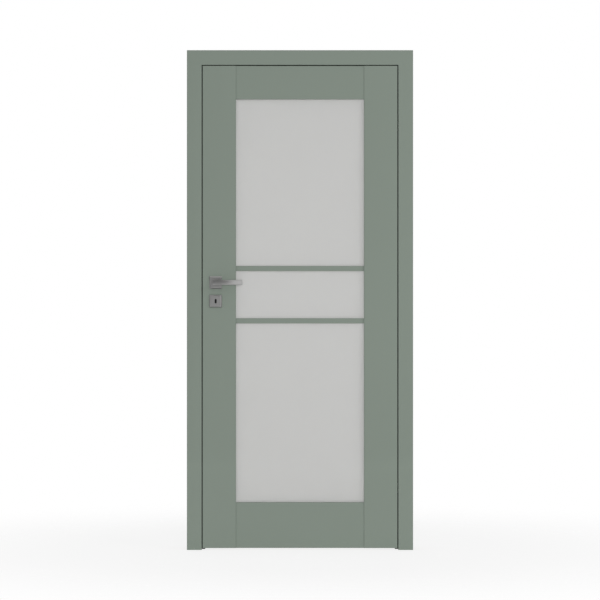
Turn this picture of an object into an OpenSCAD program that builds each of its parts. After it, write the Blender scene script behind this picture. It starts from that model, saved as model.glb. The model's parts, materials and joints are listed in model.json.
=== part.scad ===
/* [Leaf] */
// Width of the door leaf
leaf_w = 818; // [718:1:918]
// Height of the door leaf
leaf_h = 2025; // [1925:1:2125]
// Thickness of the stiles
leaf_t = 40; // [38:0.5:46]
// Face width of each stile
stile_w = 140; // [120:1:170]
// Face height of the top rail
top_rail_h = 140; // [100:1:180]
// Face height of the bottom rail
bottom_rail_h = 192; // [150:1:240]
// How far the rails stand back from the stiles' faces
rail_setback = 3; // [0.5:0.5:5]
// Face height of each glazing bar
bar_h = 21.5; // [20:0.5:40]
// How far the glazing bars stand back from the stiles' faces
bar_setback = 8; // [4:0.5:10]
// Height of glass seen above the upper bar
upper_light_h = 700; // [600:1:800]
// Height of glass seen between the bars
middle_light_h = 198.4; // [150:0.1:260]
// Radius on the long edges of stiles, rails and bars
edge_r = 1.5; // [0.5:0.1:2.5]
// Width and depth of the shadow joint at the ends of rails and bars
shadow_joint = 1.2; // [0.5:0.1:2]

/* [Glass] */
// Thickness of the panes
glass_t = 4; // [4:0.5:6]
// Depth of the glazing grooves
groove_depth = 8; // [7:0.5:9]
// Wall of the pane gaskets
gasket_wall = 1.5; // [1:0.1:2]

/* [Frame] */
// Gap between the leaf's edge and the frame
edge_gap = 4; // [3:0.5:5]
// Gap between the leaf and the floor
floor_gap = 8; // [4:1:12]
// Face width of the casings
casing_w = 62; // [55:1:90]
// Thickness of the casings
casing_t = 16; // [14:1:20]
// Thickness of the wall that the frame clasps
wall_t = 100; // [80:1:200]
// Thickness of the jambs behind the leaf's edge
jamb_t = 22; // [20:1:30]
// How far the stop stands out from the jamb
stop_w = 13; // [11:0.5:16]
// Space for the seal between the leaf and the stop
seal_gap = 3; // [2:0.5:4]

/* [Hinges] */
// Distance from the leaf's top edge to the upper hinge's middle
hinge_top_inset = 250; // [180:1:350]
// Distance from the leaf's bottom edge to the lower hinge's middle
hinge_bottom_inset = 250; // [180:1:350]
// Height of a hinge's face plate
hinge_h = 110; // [100:1:140]
// Sideways distance from the swing axis to each fixed pin
pivot_side = 9; // [8:0.1:10]
// Distance from the leaf's face back to each fixed pin
pivot_back = 15; // [14.5:0.1:15.5]

/* [Lock] */
// Distance from the leaf's edge to the handle axis
backset = 55; // [50:1:65]
// Height of the handle axis above the floor
handle_z = 1123; // [1000:1:1150]
// Distance from the handle axis down to the keyhole's middle
key_drop = 78; // [74:1:92]
// Thickness of the lock case
case_t = 15; // [14:0.5:17]
// Height of the lock case above the handle axis
case_above = 50; // [46:1:60]
// Height of the lock case below the keyhole's middle
case_below = 37; // [30:1:50]
// Width of the faceplate and of the strike plate
faceplate_w = 20; // [18:1:24]
// How far the latch stands out of the faceplate
latch_out = 10; // [8:0.5:11]
// Height of the latch bolt
latch_h = 24; // [20:1:26]
// How far the deadbolt moves when the key turns
bolt_throw = 14; // [10:0.5:16]
// Height of the deadbolt
bolt_h = 30; // [24:1:32]

/* [Lever set] */
// Width and height of the square rosettes
rosette_w = 53; // [50:1:56]
// Thickness of the rosettes
rosette_t = 9; // [8:0.5:11]
// Width of the bevel round a rosette's face
rosette_bevel = 3.5; // [1:0.5:4]
// Distance from the handle axis to a lever's tip
lever_len = 113; // [100:1:130]
// Height of a lever's grip
lever_h = 21; // [18:0.5:22]
// Thickness of a lever's grip
lever_t = 11; // [9:0.5:13]
// How far the middle of a lever's grip stands out from the leaf's face
lever_out = 58; // [52:1:64]
// Radius of the bow along a lever's grip
bow_r = 250; // [200:10:500]
// Radius of a lever's round neck
neck_r = 9; // [8:0.5:9.5]
// Width of the keyhole
keyhole_w = 8; // [6:0.5:9]
// Height of the keyhole
keyhole_h = 19; // [16:0.5:21]

/* [Hidden] */
$fn = 64;

// Colours
foil_colour = [0.49, 0.535, 0.495];
glass_colour = [0.76, 0.76, 0.75];
nickel_colour = [0.62, 0.61, 0.59];
steel_colour = [0.7, 0.71, 0.72];
zinc_colour = [0.55, 0.56, 0.58];
rubber_colour = [0.13, 0.13, 0.13];
pale_seal_colour = [0.8, 0.8, 0.78];
lacquer_colour = [0.16, 0.16, 0.17];
nylon_colour = [0.12, 0.12, 0.12];
beech_colour = [0.76, 0.6, 0.42];

// Fits and clearances
overrun = 1;
running_fit = 0.05;
glue_fit = 0.1;
free_fit = 0.4;
pocket_fit = 0.2;

// Places of the leaf in the frame: the origin is the middle of the whole, on the floor
half_leaf = leaf_w / 2;
rebate_x = half_leaf + edge_gap;
leaf_bottom = floor_gap;
leaf_top = floor_gap + leaf_h;
rebate_z = leaf_top + edge_gap;
outer_x = rebate_x + casing_w;
outer_z = rebate_z + casing_w;
wall_y = (lever_out - wall_t) / 2;
wall_back_y = wall_y + wall_t;
front_y = wall_y - casing_t;
leaf_mid_y = front_y + leaf_t / 2;
leaf_back_y = front_y + leaf_t;
stop_y = leaf_back_y + seal_gap;
frame_back_y = wall_back_y + casing_t;

// Places of the lights in the leaf
light_w = leaf_w - 2 * stile_w;
upper_light_z = leaf_top - top_rail_h - upper_light_h;
upper_bar_z = upper_light_z - bar_h;
middle_light_z = upper_bar_z - middle_light_h;
lower_bar_z = middle_light_z - bar_h;
lower_light_z = leaf_bottom + bottom_rail_h;
lower_light_h = lower_bar_z - lower_light_z;
rail_t = leaf_t - 2 * rail_setback;
bar_t = leaf_t - 2 * bar_setback;

// Glazing
groove_spare = 0.5;
groove_w = glass_t + 2 * gasket_wall + 2 * glue_fit;
glass_bite = groove_depth - gasket_wall - groove_spare;
tenon_t = groove_w - 2 * glue_fit;
tenon_len = groove_depth - groove_spare;

// Dowels
dowel_r = 5;
dowel_len = 70;
dowel_shares = [0.25, 0.75];

// Frame members, measured outward from the jamb's rebate face
let_in = 3;
let_in_relief = 1;
casing_edge_r = 3;
jamb_front_y = wall_y - let_in;
jamb_back_y = wall_back_y + let_in;
front_tongue_w = 6;
front_tongue_len = 10;
front_tongue_u = (jamb_t - front_tongue_w) / 2;
back_tongue_w = 8;
back_tongue_len = 30;
back_tongue_u = (jamb_t - stop_w - back_tongue_w) / 2;
tongue_spare = 1;
back_reveal = 3;

// Seal in the stop
seal_u = -(stop_w + edge_gap) / 2;
seal_stem_w = 4;
seal_stem_len = 5.5;
seal_touch = 0.3;
seal_out = seal_gap - seal_touch;
seal_bulb_r = 4;
seal_hollow_r = 1.1;
seal_flange_t = 1;
seal_flange_clear = 0.2;

// Wood screws
screw_r = 1.75;
screw_len = 20;
screw_head_r = 3.5;
screw_head_len = 2;
corner_screw_r = 2.5;
corner_screw_len = 60;
corner_screw_head_r = 5;
corner_screw_head_len = 3;
corner_screw_shares = [0.35, 0.6];

// Hinge linkage, measured from the swing axis
hinge_x = half_leaf + edge_gap / 2;
upper_hinge_z = leaf_top - hinge_top_inset;
lower_hinge_z = leaf_bottom + hinge_bottom_inset;
pin_r = 2;
boss_r = 3.5;
arm_web = 4;
arm_clear = 0.6;
leaf_arm_h = 20;
frame_arm_h = 10;
arm_slack = 0.4;
arm_len = sqrt(pivot_side * pivot_side + pivot_back * pivot_back);
arm_angle = atan2(pivot_back, -pivot_side);

// Hinge bodies
cup_lip = 5.6;
cup_wall = 1.4;
cup_back = 2 * pivot_back + boss_r + arm_clear;
cup_mid = (cup_lip + cup_back) / 2;
cup_deep = pivot_side + boss_r + arm_clear;
cup_hollow_h = leaf_arm_h + 2 * frame_arm_h + 4 * arm_slack;
pin_seat = 5;
cup_h = cup_hollow_h + 2 * pin_seat + 2 * cup_wall;
cup_corner_r = 5;
plate_t = 2.5;
plate_w = cup_back - cup_lip + 2 * cup_wall;
plate_screw_z = (hinge_h + cup_h) / 4;

// Lock places
handle_x = -half_leaf + backset;
key_z = handle_z - key_drop;
faceplate_t = 3;
faceplate_over = 35;
faceplate_low = key_z - case_below - faceplate_over;
faceplate_high = handle_z + case_above + faceplate_over;
faceplate_screw_inset = 12;
case_wall = 1.5;
case_tail = 34;
case_x = -half_leaf + faceplate_t;
case_depth = backset + case_tail - faceplate_t;
case_h = case_above + key_drop + case_below;
case_low = key_z - case_below;
case_front_y = leaf_mid_y - case_t / 2;
mortise_fit = 0.5;

// Follower and latch
spindle_w = 8;
spindle_fit = 0.1;
journal_r = 9;
hub_r = 9.8;
lug_len = 16;
lug_w = 6;
lug_t = 6;
lug_gap = 0.6;
side_play = 0.5;
bolt_w = case_t - 2 * case_wall - 2 * side_play;
latch_rise = 12;
latch_len = 21;
latch_bevel = 8;
rod_rise = 18;
rod_r = 3;
tail_t = 5;
tail_h = 10;
hook_w = 5.5;
hook_low = 9.5;
notch_left = 8;
notch_h = 5.5;
bracket_t = 2;
bracket_h = 16;
bracket_x = handle_x - notch_left - 2 * bracket_t - side_play;

// Latch spring
wire_r = 0.6;
spring_r = 4.4;
spring_turns = 7;
spring_steps = 16;
wire_sides = 6;
spring_seat = 0.05;

// Deadbolt
bolt_gap = 11;
bolt_len = 24;
bolt_sunk = 0.3;
bolt_plate_t = 4;
bolt_plate_h = 20;
bolt_plate_end = 31;
guide_r = 3;
guide_side = 10;
talon_w = 10;
talon_h = 6;
bolt_z = key_z + bolt_gap;

// Ward plate: it stands between the front key and the back key
ward_w = 22;
ward_t = 2;
ward_clear = 0.8;
ward_high = bolt_z - ward_clear;

// Strike plate
strike_t = 2;
strike_clear = 0.8;
strike_over = 25;
strike_low = bolt_z - strike_over;
strike_high = handle_z + latch_rise + latch_h / 2 + strike_over;
strike_screw_inset = 9;
strike_spare = 3;

// Lever set
rosette_corner_r = 2;
rosette_wall = 1.5;
rosette_face = 2;
base_t = 5;
base_w = rosette_w - 2 * rosette_wall - 2 * pocket_fit;
neck_foot = 0.5;
grip_over = 3.5;
grip_start = neck_r + grip_over;
grip_edge_r = 3.5;
tip_bevel = 3.5;
bow_mid = (lever_len - grip_start) / 2;
bow_half = asin((lever_len - bow_mid) / bow_r);
bow_inner_r = bow_r - lever_t;
bow_near = sqrt(bow_r * bow_r - (bow_mid + neck_r) * (bow_mid + neck_r));
bow_far = sqrt(bow_inner_r * bow_inner_r - (bow_mid - neck_r) * (bow_mid - neck_r));
neck_end = lever_out - bow_r + (bow_near + bow_far) / 2;
set_screw_drop = 6;
set_screw_out = rosette_t + set_screw_drop;
socket_len = 30;
spindle_spare = 1;
set_screw_r = 2.5;
keyway_grow = 2;
bolt_hole_side = 16;
through_r = 2;
through_head_r = 3.6;
through_head_len = 1.6;
spindle_hole_r = 8;

// A flat outline pushed along X: it is drawn as Y, Z
module along_x(length) {
    rotate([90, 0, 90])
        linear_extrude(length)
            children();
}

// A flat outline pushed along Y: it is drawn as X, Z
module along_y(length) {
    translate([0, length, 0])
        rotate([90, 0, 0])
            linear_extrude(length)
                children();
}

// What a rounding takes off a corner at the origin that opens towards +X, +Y
module corner_trim(r) {
    difference() {
        translate([-overrun, -overrun])
            square(r + overrun);
        translate([r, r])
            circle(r);
    }
}

// A rectangle from the origin with four rounded corners
module round_rect(w, h, r) {
    translate([r, 0])
        square([w - 2 * r, h]);
    translate([0, r])
        square([w, h - 2 * r]);
    for (x = [r, w - r], y = [r, h - r])
        translate([x, y])
            circle(r);
}

// A slot with round ends, centred, upright
module stadium(w, h) {
    translate([-w / 2, -(h - w) / 2])
        square([w, h - w]);
    for (side = [-1, 1])
        translate([0, side * (h - w) / 2])
            circle(w / 2);
}

// A countersunk screw along -Z with its head's face at the origin
module screw(r, length, head_r, head_len) {
    translate([0, 0, -length])
        cylinder(h = length, r = r);
    translate([0, 0, -head_len])
        cylinder(h = head_len, r1 = r, r2 = head_r);
}

// The hole for such a screw, open at the top
module screw_hole(r, length, head_r, head_len) {
    screw(r + glue_fit, length + glue_fit, head_r + glue_fit, head_len + glue_fit);
    cylinder(h = overrun, r = head_r + glue_fit);
}

module small_screw() {
    screw(screw_r, screw_len, screw_head_r, screw_head_len);
}

module small_screw_hole() {
    screw_hole(screw_r, screw_len, screw_head_r, screw_head_len);
}

// Sections of the frame: outward from the rebate face, then back
module jamb_section() {
    difference() {
        union() {
            translate([0, jamb_front_y])
                square([jamb_t, jamb_back_y - jamb_front_y]);
            translate([-stop_w, stop_y])
                square([stop_w + jamb_t, jamb_back_y - stop_y]);
        }
        translate([seal_u - seal_stem_w / 2, stop_y - overrun])
            square([seal_stem_w, seal_stem_len + tongue_spare + overrun]);
        translate([front_tongue_u - glue_fit, jamb_front_y - overrun])
            square([front_tongue_w + 2 * glue_fit, front_tongue_len + tongue_spare + overrun]);
        translate([back_tongue_u - glue_fit, jamb_back_y - back_tongue_len - tongue_spare])
            square([back_tongue_w + 2 * glue_fit, back_tongue_len + tongue_spare + overrun]);
    }
}

module front_casing_section() {
    difference() {
        translate([0, front_y])
            square([casing_w, casing_t]);
        translate([-overrun, jamb_front_y])
            square([jamb_t + let_in_relief + overrun, let_in + overrun]);
        translate([0, front_y])
            corner_trim(edge_r);
        translate([casing_w, front_y])
            mirror([1, 0])
                corner_trim(casing_edge_r);
    }
    translate([front_tongue_u, jamb_front_y - let_in])
        square([front_tongue_w, front_tongue_len + let_in]);
}

module back_casing_section() {
    inner_u = back_reveal - stop_w;
    difference() {
        translate([inner_u, wall_back_y])
            square([casing_w - inner_u, casing_t]);
        translate([inner_u - overrun, wall_back_y - overrun])
            square([jamb_t + let_in_relief - inner_u + overrun, let_in + overrun]);
        translate([inner_u, frame_back_y])
            mirror([0, 1])
                corner_trim(edge_r);
        translate([casing_w, frame_back_y])
            mirror([0, 1])
                mirror([1, 0])
                    corner_trim(casing_edge_r);
    }
    translate([back_tongue_u, jamb_back_y - back_tongue_len])
        square([back_tongue_w, back_tongue_len + let_in]);
}

// A bulb seal with a stem in the stop's groove and a flange that covers the stop as far as the jamb
module seal_section() {
    difference() {
        union() {
            translate([seal_u - seal_stem_w / 2, stop_y])
                square([seal_stem_w, seal_stem_len]);
            intersection() {
                translate([seal_u, stop_y + seal_bulb_r - seal_out])
                    circle(seal_bulb_r);
                translate([seal_u - seal_bulb_r, stop_y - seal_out])
                    square([2 * seal_bulb_r, seal_out]);
            }
            translate([seal_u, stop_y - seal_flange_t])
                square([-seal_u - seal_flange_clear, seal_flange_t]);
        }
        translate([seal_u, stop_y - seal_out / 2 + seal_hollow_r / 4])
            circle(seal_hollow_r);
    }
}

// An upright member on the hinge side, mitred at its top
module upright() {
    inner_u = -stop_w - overrun;
    outer_u = casing_w + overrun;
    intersection() {
        translate([rebate_x, 0, 0])
            linear_extrude(outer_z)
                children();
        translate([rebate_x, front_y - overrun, 0])
            along_y(frame_back_y - front_y + 2 * overrun)
                polygon([
                    [inner_u, 0],
                    [outer_u, 0],
                    [outer_u, rebate_z + outer_u],
                    [inner_u, rebate_z + inner_u]
                ]);
    }
}

// The head member, mitred at both ends
module header() {
    inner_u = -stop_w - overrun;
    outer_u = casing_w + overrun;
    intersection() {
        translate([-outer_x, 0, 0])
            along_x(2 * outer_x)
                translate([0, rebate_z])
                    mirror([1, -1])
                        children();
        translate([0, front_y - overrun, rebate_z])
            along_y(frame_back_y - front_y + 2 * overrun)
                polygon([
                    [-rebate_x - inner_u, inner_u],
                    [rebate_x + inner_u, inner_u],
                    [rebate_x + outer_u, outer_u],
                    [-rebate_x - outer_u, outer_u]
                ]);
    }
}

module to_lock_side() {
    mirror([1, 0, 0])
        children();
}

// Corner screws go down through the head into the uprights
module at_corner_screws() {
    for (side = [-1, 1], share = corner_screw_shares)
        translate([side * (rebate_x + jamb_t / 2), wall_y + share * wall_t, rebate_z + jamb_t])
            children();
}

module corner_screw_holes() {
    at_corner_screws()
        screw_hole(corner_screw_r, corner_screw_len, corner_screw_head_r, corner_screw_head_len);
}

module jamb_screws() {
    color(steel_colour)
        at_corner_screws()
            screw(corner_screw_r, corner_screw_len, corner_screw_head_r, corner_screw_head_len);
}

// Hinge places and shapes
module at_hinge(z) {
    translate([hinge_x, front_y, z])
        children();
}

module at_hinges() {
    at_hinge(upper_hinge_z)
        children();
    at_hinge(lower_hinge_z)
        children();
}

module at_plate_screws() {
    for (side = [-1, 1])
        translate([edge_gap / 2, cup_mid, side * plate_screw_z])
            rotate([0, -90, 0])
                children();
}

// The pocket for one hinge body, on the frame's side
module hinge_pocket() {
    translate([edge_gap / 2 - overrun, cup_mid, 0])
        along_x(plate_t + pocket_fit + overrun)
            stadium(plate_w + 2 * pocket_fit, hinge_h + 2 * pocket_fit);
    translate([edge_gap / 2, cup_mid - plate_w / 2 - pocket_fit, -cup_h / 2 - pocket_fit])
        along_x(cup_deep - edge_gap / 2 + cup_wall + pocket_fit)
            round_rect(plate_w + 2 * pocket_fit, cup_h + 2 * pocket_fit, cup_corner_r);
    at_plate_screws()
        small_screw_hole();
}

// One hinge body on the frame's side
module hinge_body() {
    difference() {
        union() {
            translate([edge_gap / 2, cup_mid, 0])
                along_x(plate_t)
                    stadium(plate_w, hinge_h);
            translate([edge_gap / 2, cup_mid - plate_w / 2, -cup_h / 2])
                along_x(cup_deep - edge_gap / 2 + cup_wall)
                    round_rect(plate_w, cup_h, cup_corner_r);
        }
        translate([edge_gap / 2 - overrun, cup_lip, -cup_hollow_h / 2])
            cube([cup_deep - edge_gap / 2 + overrun, cup_back - cup_lip, cup_hollow_h]);
        translate([pivot_side, pivot_back, -cup_hollow_h / 2 - pin_seat])
            cylinder(h = cup_hollow_h + 2 * pin_seat, r = pin_r + running_fit);
        at_plate_screws()
            small_screw_hole();
    }
}

module hinge_pin() {
    translate([pivot_side, pivot_back, -cup_hollow_h / 2 - pin_seat])
        cylinder(h = cup_hollow_h + 2 * pin_seat, r = pin_r);
}

// An arm's outline from its fixed pin to the joint pin, drawn on the frame's side
module arm_outline() {
    for (place = [[pivot_side, pivot_back], [0, 2 * pivot_back]])
        translate(place)
            circle(boss_r);
    translate([pivot_side, pivot_back])
        rotate(arm_angle)
            translate([0, -arm_web / 2])
                square([arm_len, arm_web]);
}

// Two plates on the fixed pin, with the joint pin riveted into both
module frame_arm() {
    difference() {
        union() {
            for (low = [leaf_arm_h / 2 + arm_slack, -leaf_arm_h / 2 - arm_slack - frame_arm_h])
                translate([0, 0, low])
                    linear_extrude(frame_arm_h)
                        arm_outline();
            translate([0, 2 * pivot_back, -leaf_arm_h / 2 - arm_slack - frame_arm_h])
                cylinder(h = leaf_arm_h + 2 * arm_slack + 2 * frame_arm_h, r = pin_r);
        }
        translate([pivot_side, pivot_back, -cup_hollow_h / 2])
            cylinder(h = cup_hollow_h, r = pin_r + running_fit);
    }
}

// One thick plate between them, on the joint pin and the leaf's fixed pin
module leaf_arm() {
    mirror([1, 0, 0])
        difference() {
            translate([0, 0, -leaf_arm_h / 2])
                linear_extrude(leaf_arm_h)
                    arm_outline();
            for (place = [[pivot_side, pivot_back], [0, 2 * pivot_back]])
                translate([place[0], place[1], -leaf_arm_h / 2 - overrun])
                    cylinder(h = leaf_arm_h + 2 * overrun, r = pin_r + running_fit);
        }
}

module upper_hinge_frame_body() {
    color(zinc_colour)
        at_hinge(upper_hinge_z)
            hinge_body();
}

module lower_hinge_frame_body() {
    color(zinc_colour)
        at_hinge(lower_hinge_z)
            hinge_body();
}

module upper_hinge_leaf_body() {
    color(zinc_colour)
        at_hinge(upper_hinge_z)
            mirror([1, 0, 0])
                hinge_body();
}

module lower_hinge_leaf_body() {
    color(zinc_colour)
        at_hinge(lower_hinge_z)
            mirror([1, 0, 0])
                hinge_body();
}

module hinge_frame_pins() {
    color(steel_colour)
        at_hinges()
            hinge_pin();
}

module hinge_leaf_pins() {
    color(steel_colour)
        at_hinges()
            mirror([1, 0, 0])
                hinge_pin();
}

module upper_hinge_frame_arm() {
    color(steel_colour)
        at_hinge(upper_hinge_z)
            frame_arm();
}

module lower_hinge_frame_arm() {
    color(steel_colour)
        at_hinge(lower_hinge_z)
            frame_arm();
}

module upper_hinge_leaf_arm() {
    color(steel_colour)
        at_hinge(upper_hinge_z)
            leaf_arm();
}

module lower_hinge_leaf_arm() {
    color(steel_colour)
        at_hinge(lower_hinge_z)
            leaf_arm();
}

// Strike plate on the lock jamb and the pockets behind it
module at_strike_screws() {
    for (z = [strike_low + strike_screw_inset, strike_high - strike_screw_inset])
        translate([-rebate_x, leaf_mid_y, z])
            rotate([0, 90, 0])
                children();
}

module strike_windows(grow, length) {
    translate([-rebate_x - length, leaf_mid_y - bolt_w / 2 - grow, handle_z + latch_rise - latch_h / 2 - grow])
        cube([length + overrun, bolt_w + 2 * grow, latch_h + 2 * grow]);
    translate([-rebate_x - length, leaf_mid_y - bolt_w / 2 - grow, bolt_z - grow])
        cube([length + overrun, bolt_w + 2 * grow, bolt_h + 2 * grow]);
}

module strike_outline(grow) {
    translate([leaf_mid_y, (strike_low + strike_high) / 2])
        stadium(faceplate_w + 2 * grow, strike_high - strike_low + 2 * grow);
}

module strike_pocket() {
    translate([-rebate_x - strike_t - pocket_fit, 0, 0])
        along_x(strike_t + pocket_fit + overrun)
            strike_outline(pocket_fit);
    strike_windows(strike_clear, bolt_throw - edge_gap + strike_spare);
    at_strike_screws()
        small_screw_hole();
}

module strike_plate() {
    color(steel_colour)
        difference() {
            translate([-rebate_x - strike_t, 0, 0])
                along_x(strike_t)
                    strike_outline(0);
            strike_windows(strike_clear, strike_t + overrun);
            at_strike_screws()
                small_screw_hole();
        }
}

module frame_screws() {
    color(steel_colour) {
        at_strike_screws()
            small_screw();
        at_hinges()
            at_plate_screws()
                small_screw();
    }
}

// Jambs, casings and seals
module lock_jamb() {
    color(foil_colour)
        difference() {
            to_lock_side()
                upright()
                    jamb_section();
            strike_pocket();
            corner_screw_holes();
        }
}

module hinge_jamb() {
    color(foil_colour)
        difference() {
            upright()
                jamb_section();
            at_hinges()
                hinge_pocket();
            corner_screw_holes();
        }
}

module head_jamb() {
    color(foil_colour)
        difference() {
            header()
                jamb_section();
            corner_screw_holes();
        }
}

module lock_front_casing() {
    color(foil_colour)
        difference() {
            to_lock_side()
                upright()
                    front_casing_section();
            strike_pocket();
        }
}

module hinge_front_casing() {
    color(foil_colour)
        difference() {
            upright()
                front_casing_section();
            at_hinges()
                hinge_pocket();
        }
}

module head_front_casing() {
    color(foil_colour)
        header()
            front_casing_section();
}

module lock_back_casing() {
    color(foil_colour)
        to_lock_side()
            upright()
                back_casing_section();
}

module hinge_back_casing() {
    color(foil_colour)
        upright()
            back_casing_section();
}

module head_back_casing() {
    color(foil_colour)
        header()
            back_casing_section();
}

module lock_seal() {
    color(rubber_colour)
        to_lock_side()
            upright()
                seal_section();
}

module hinge_seal() {
    color(rubber_colour)
        upright()
            seal_section();
}

module head_seal() {
    color(rubber_colour)
        header()
            seal_section();
}

// Dowels between a rail and both stiles
module rail_dowel_holes(z, height) {
    for (side = [-1, 1], share = dowel_shares)
        translate([side * light_w / 2 - dowel_len / 2 - glue_fit, leaf_mid_y, z + share * height])
            rotate([0, 90, 0])
                cylinder(h = dowel_len + 2 * glue_fit, r = dowel_r + glue_fit);
}

module rail_dowel_row(z, height) {
    for (side = [-1, 1], share = dowel_shares)
        translate([side * light_w / 2 - dowel_len / 2, leaf_mid_y, z + share * height])
            rotate([0, 90, 0])
                cylinder(h = dowel_len, r = dowel_r);
}

module all_dowel_holes() {
    rail_dowel_holes(leaf_bottom, bottom_rail_h - groove_depth);
    rail_dowel_holes(leaf_top - top_rail_h + groove_depth, top_rail_h - groove_depth);
}

module rail_dowels() {
    color(beech_colour) {
        rail_dowel_row(leaf_bottom, bottom_rail_h - groove_depth);
        rail_dowel_row(leaf_top - top_rail_h + groove_depth, top_rail_h - groove_depth);
    }
}

// Stiles, rails and glazing bars
module stile_section() {
    difference() {
        round_rect(stile_w, leaf_t, edge_r);
        translate([stile_w - groove_depth, (leaf_t - groove_w) / 2])
            square([groove_depth + overrun, groove_w]);
    }
}

module stile() {
    translate([-half_leaf, front_y, leaf_bottom])
        linear_extrude(leaf_h)
            stile_section();
}

// A rail from stile to stile, grooved where it holds glass, with stub tenons and a shadow joint at each end
module rail(z, height, thick, low_groove, high_groove) {
    difference() {
        translate([-light_w / 2, leaf_mid_y, z])
            along_x(light_w)
                difference() {
                    translate([-thick / 2, 0])
                        round_rect(thick, height, edge_r);
                    translate([-groove_w / 2, -overrun])
                        square([groove_w, low_groove + overrun]);
                    translate([-groove_w / 2, height - high_groove])
                        square([groove_w, high_groove + overrun]);
                }
        for (end = [-1, 1], face = [-1, 1])
            translate([end * light_w / 2, leaf_mid_y + face * thick / 2, z - overrun])
                translate([-shadow_joint, -shadow_joint, 0])
                    cube([2 * shadow_joint, 2 * shadow_joint, height + 2 * overrun]);
    }
    translate([-light_w / 2 - tenon_len, leaf_mid_y - tenon_t / 2, z + low_groove])
        cube([light_w + 2 * tenon_len, tenon_t, height - low_groove - high_groove]);
}

module lock_stile() {
    color(foil_colour)
        difference() {
            stile();
            all_dowel_holes();
            lock_mortise();
            lever_set_holes();
        }
}

module hinge_stile() {
    color(foil_colour)
        difference() {
            mirror([1, 0, 0])
                stile();
            all_dowel_holes();
            at_hinges()
                mirror([1, 0, 0])
                    hinge_pocket();
        }
}

module top_rail() {
    color(foil_colour)
        difference() {
            rail(leaf_top - top_rail_h, top_rail_h, rail_t, groove_depth, 0);
            all_dowel_holes();
        }
}

module bottom_rail() {
    color(foil_colour)
        difference() {
            rail(leaf_bottom, bottom_rail_h, rail_t, 0, groove_depth);
            all_dowel_holes();
        }
}

module upper_bar() {
    color(foil_colour)
        rail(upper_bar_z, bar_h, bar_t, groove_depth, groove_depth);
}

module lower_bar() {
    color(foil_colour)
        rail(lower_bar_z, bar_h, bar_t, groove_depth, groove_depth);
}

// Panes and their gaskets
module sheet(grow, thick, z, height) {
    translate([-light_w / 2 - grow, leaf_mid_y - thick / 2, z - grow])
        cube([light_w + 2 * grow, thick, height + 2 * grow]);
}

module pane(z, height) {
    color(glass_colour)
        sheet(glass_bite, glass_t, z, height);
}

module gasket(z, height) {
    color(pale_seal_colour)
        difference() {
            sheet(glass_bite + gasket_wall, glass_t + 2 * gasket_wall, z, height);
            sheet(0, leaf_t, z, height);
            sheet(glass_bite, glass_t, z, height);
        }
}

module upper_pane() {
    pane(upper_light_z, upper_light_h);
}

module middle_pane() {
    pane(middle_light_z, middle_light_h);
}

module lower_pane() {
    pane(lower_light_z, lower_light_h);
}

module upper_pane_gasket() {
    gasket(upper_light_z, upper_light_h);
}

module middle_pane_gasket() {
    gasket(middle_light_z, middle_light_h);
}

module lower_pane_gasket() {
    gasket(lower_light_z, lower_light_h);
}

// Mortise lock
module faceplate_outline(grow) {
    translate([leaf_mid_y, (faceplate_low + faceplate_high) / 2])
        stadium(faceplate_w + 2 * grow, faceplate_high - faceplate_low + 2 * grow);
}

module at_faceplate_screws() {
    for (z = [faceplate_low + faceplate_screw_inset, faceplate_high - faceplate_screw_inset])
        translate([-half_leaf, leaf_mid_y, z])
            rotate([0, -90, 0])
                children();
}

module lock_mortise() {
    translate([-half_leaf - overrun, 0, 0])
        along_x(faceplate_t + overrun)
            faceplate_outline(pocket_fit);
    translate([case_x - overrun, case_front_y - mortise_fit, case_low - mortise_fit])
        cube([case_depth + mortise_fit + overrun, case_t + 2 * mortise_fit, case_h + 2 * mortise_fit]);
    at_faceplate_screws()
        small_screw_hole();
}

// The windows that the two bolts slide through
module bolt_windows(grow) {
    translate([-half_leaf - overrun, leaf_mid_y - bolt_w / 2 - grow, handle_z + latch_rise - latch_h / 2 - grow])
        cube([faceplate_t + case_wall + 2 * overrun, bolt_w + 2 * grow, latch_h + 2 * grow]);
    translate([-half_leaf - overrun, leaf_mid_y - bolt_w / 2 - grow, bolt_z - grow])
        cube([faceplate_t + case_wall + 2 * overrun, bolt_w + 2 * grow, bolt_h + 2 * grow]);
}

module lock_faceplate() {
    color(nickel_colour)
        difference() {
            translate([-half_leaf, 0, 0])
                along_x(faceplate_t)
                    faceplate_outline(0);
            bolt_windows(free_fit);
            at_faceplate_screws()
                small_screw_hole();
        }
}

module leaf_screws() {
    color(steel_colour) {
        at_faceplate_screws()
            small_screw();
        at_hinges()
            mirror([1, 0, 0])
                at_plate_screws()
                    small_screw();
    }
}

// Where the through screws of the lever and key rosettes pass
module at_through_screws() {
    for (side = [-1, 1], z = [handle_z, key_z])
        translate([handle_x + side * bolt_hole_side, 0, z])
            children();
}

// Holes in the lock case's walls for the follower, the key and the through screws
module case_holes(y, length) {
    translate([handle_x, y, handle_z])
        rotate([-90, 0, 0])
            cylinder(h = length, r = journal_r + running_fit);
    translate([handle_x, y, key_z])
        along_y(length)
            stadium(keyhole_w + keyway_grow, keyhole_h + keyway_grow);
    translate([0, y, 0])
        at_through_screws()
            rotate([-90, 0, 0])
                cylinder(h = length, r = through_r + free_fit);
}

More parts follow.
